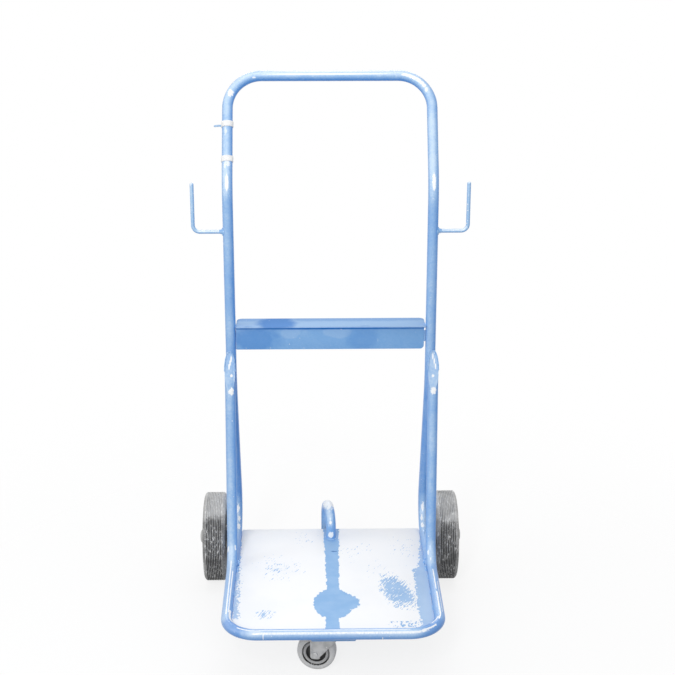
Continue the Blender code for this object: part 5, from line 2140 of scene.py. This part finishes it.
    def build_bolt(self) -> None:
        """Builds the axle bolt with its head, and the nut on its far end."""
        out = self.leg_y + self.thickness / 2 + self.fit
        shank, bore, wide = self.shank, self.shank_bore, self.hex_radius
        work = bmesh.new()
        head = [(0.0, out + 0.004), (0.0052, out + 0.004), (0.006, out + 0.0037), (wide, out + 0.0031)]
        lathe(work, head + [(wide, out), (0.0, out)], self.wheel_way, 6)
        tip = [(shank, -out - 0.0068), (0.0034, -out - 0.0075), (0.0, -out - 0.0075)]
        lathe(work, [(0.0, out + 0.001), (shank, out + 0.001)] + tip, self.wheel_way, 24)
        seat(solid("axle_bolt_hex", work, self.shop.zinc), Body.FORK, Slot.ZINC, "caster_axle_bolt")
        shape = [(bore, -out), (wide, -out), (wide, -out - 0.0044), (0.006, -out - 0.0051)]
        shape += [(0.0052, -out - 0.0055), (bore, -out - 0.0055)]
        nut = turned("axle_nut_hex", shape, self.wheel_way, 6, self.shop.zinc)
        seat(nut, Body.FORK, Slot.ZINC, "caster_axle_nut")

    def build_wheel(self) -> None:
        """Builds the grey tyre and the moulded core, and dresses the bush."""
        upper = [
            (0.0275, 0.0128), (0.0279, 0.014), (0.0292, 0.0149), (0.0338, 0.0149), (0.0364, 0.0141),
            (0.0381, 0.0125), (0.0391, 0.01), (0.0396, 0.007), (0.0399, 0.0035),
        ]
        profile = mirrored(upper, [(self.wheel_radius, 0.0)])
        tyre = turned("caster_tyre_ring", profile, self.wheel_way, 96, self.shop.caster_rubber)
        seat(tyre, Body.CASTER_WHEEL, Slot.CASTER_RUBBER, "caster_tyre")
        upper = [
            (0.0063, 0.0171), (0.0098, 0.0172), (0.0106, 0.0162), (0.0112, 0.007), (0.0124, 0.0052),
            (0.0186, 0.005), (0.0196, 0.0058), (0.02, 0.0112), (0.0205, 0.0118),
        ]
        # The web's near-black finish stands in for the shade in the core's recess.
        web = turned("caster_core_web", mirrored(upper), self.wheel_way, 72, self.shop.core_web)
        seat(web, Body.CASTER_WHEEL, Slot.CASTER_CORE, "caster_wheel_core")
        upper = [
            (0.0204, 0.011), (0.0206, 0.0132), (0.0214, 0.014), (0.025, 0.0139), (0.0258, 0.013),
            (0.0261, 0.0104), (0.0272, 0.0102),
        ]
        ring = turned("caster_core_ring", mirrored(upper), self.wheel_way, 72, self.shop.core)
        seat(ring, Body.CASTER_WHEEL, Slot.CASTER_CORE)
        redress("caster_bush", self.shop.bare_steel)


# Studio


@dataclass(frozen=True)
class Lamp:
    """One soft lamp: where it stands, what it faces, its size and its power."""

    name: str
    place: Place
    target: Place
    wide: float
    tall: float
    watts: float

    def build(self) -> None:
        """Adds the lamp."""
        data = bpy.data.lights.new(self.name, "AREA")
        data.shape, data.size, data.size_y = "RECTANGLE", self.wide, self.tall
        data.energy = self.watts
        lamp = bpy.data.objects.new(self.name, data)
        aim = (Vector(self.target) - Vector(self.place)).to_track_quat("-Z", "Y")
        lamp.matrix_world = Matrix.Translation(self.place) @ aim.to_matrix().to_4x4()
        bpy.context.scene.collection.objects.link(lamp)


@dataclass
class Studio:
    """Floor, soft light, white surroundings and the photograph's camera."""

    focal: float = 78.4
    sensor: float = 36.0
    pitch: float = math.radians(18.83)
    yaw: float = math.radians(-1.0)
    height: float = 1.613
    distance: float = 3.037
    shift_x: float = 0.016
    axle_y: float = 0.2005
    ambient: float = 0.58
    floor_z: float = -0.0004
    floor_clear: Span = (0.45, 1.5)
    floor_dim: Colour = (0.48, 0.48, 0.482)
    floor_white: Colour = (0.95, 0.95, 0.95)
    floor_mottle: float = 0.06
    floor_glow: float = 0.82
    lamps: tuple[Lamp, ...] = (
        Lamp("lamp_front", (-0.7, -3.0, 2.3), (0.0, 0.05, 0.6), 0.5, 1.4, 46.0),
        Lamp("lamp_overhead", (0.0, -0.3, 2.9), (0.0, 0.05, 0.3), 1.4, 0.7, 11.0),
        Lamp("lamp_back", (0.0, 2.6, 2.0), (0.0, 0.05, 0.5), 1.8, 0.6, 16.0),
        Lamp("lamp_left", (-2.6, -0.8, 1.4), (0.0, 0.05, 0.55), 1.0, 1.4, 10.0),
    )

    def build(self) -> None:
        """Builds everything that isn't part of the cart."""
        self.build_camera()
        self.build_world()
        self.build_floor()
        for lamp in self.lamps:
            lamp.build()
        bpy.context.scene.view_settings.view_transform = "Standard"

    def build_camera(self) -> None:
        """Builds the camera at the photograph's place."""
        data = bpy.data.cameras.new("photo_camera")
        data.lens, data.sensor_width, data.sensor_fit = self.focal, self.sensor, "HORIZONTAL"
        camera = bpy.data.objects.new("photo_camera", data)
        turn = Matrix.Rotation(self.yaw, 4, "Z")
        place = Vector((0, self.axle_y, 0)) + turn @ Vector((self.shift_x, -self.distance, self.height))
        tilt = Matrix.Rotation(math.pi / 2 - self.pitch, 4, "X")
        camera.matrix_world = Matrix.Translation(place) @ turn @ tilt
        bpy.context.scene.collection.objects.link(camera)
        bpy.context.scene.camera = camera

    def white_to_camera(self, kit: NodeKit) -> Signal:
        """1 for camera, glossy and transmission rays, and 0 for the rest."""
        rays = kit.node("ShaderNodeLightPath").socket.node
        kinds = ("Camera", "Glossy", "Transmission")
        camera, glossy, through = (Signal(kit.tree, rays.outputs[f"Is {kind} Ray"]) for kind in kinds)
        return camera.most(glossy).most(through)

    def build_world(self) -> None:
        """Builds soft light from all round, seen as plain white."""
        world = bpy.data.worlds.new("studio_world")
        world.use_nodes = True
        bpy.context.scene.world = world
        kit = NodeKit(world.node_tree)
        background = world.node_tree.nodes["Background"]
        background.inputs["Color"].default_value = (1.0, 1.0, 1.0, 1.0)
        seen = self.white_to_camera(kit)
        plug(kit.tree, background.inputs["Strength"], self.ambient + seen * (1.0 - self.ambient))

    def build_floor(self) -> None:
        """Builds a pale floor that keeps the cart's shadow."""
        work = bmesh.new()
        near, reach = self.floor_clear
        for x, y in ((-1, -1), (1, -1), (1, 1), (-1, 1)):
            work.verts.new((x * reach, y * reach, self.floor_z))
        work.faces.new(work.verts)
        tree = Shader("floor_pale")
        seen = self.white_to_camera(tree)
        tone = tree.mix(seen, self.floor_dim, self.floor_white)
        mottle = tree.noise(1.5, 3.0) * self.floor_mottle
        tree.done(Base_Color=tree.mix(mottle, tone, self.floor_dim), Roughness=0.9)
        floor = Signal(tree.tree, tree.surface.outputs[0])
        glow = tree.node("ShaderNodeEmission", inputs={"Color": (1.0, 1.0, 1.0), "Strength": 1.0})
        clear = tree.node("ShaderNodeBsdfTransparent")
        lit = tree.node("ShaderNodeMixShader", inputs={"Fac": seen * self.floor_glow})
        x, y, _ = tree.axes()
        far = (x * x + y * y) ** 0.5
        below = tree.node("ShaderNodeNewGeometry", out="Backfacing")
        faded = tree.node("ShaderNodeMixShader", inputs={"Fac": tree.step(far, near, reach).most(below)})
        for mixer, pair in ((lit, (floor, glow)), (faded, (lit, clear))):
            for entry, value in zip(mixer.socket.node.inputs[1:], pair):
                plug(tree.tree, entry, value)
        plug(tree.tree, tree.tree.nodes["Material Output"].inputs["Surface"], faded)
        solid("studio_floor", work, tree.material)


def write_sizes() -> None:
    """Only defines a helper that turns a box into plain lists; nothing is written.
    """

    def corners(box: Any) -> list[list[float]]:
        """A box as plain lists."""
        return [[float(value) for value in corner] for corner in box]


def main() -> None:
    """Builds the studio and every sub-assembly in order."""
    logging.basicConfig(level=logging.INFO, format="%(name)s: %(message)s")
    Studio().build()
    shop = Shop()
    kinds = (TubeFrame, Platform, CrossRail, Straps, TippingHoop, RearAxle, Caster)
    assemblies: list[Assembly] = [kind(shop) for kind in kinds]
    for side in Side:
        assemblies += [HoseHook(shop, side), RearWheel(shop, side)]
    for assembly in assemblies:
        assembly.build()
    write_sizes()


if __name__ == "__main__":
    main()
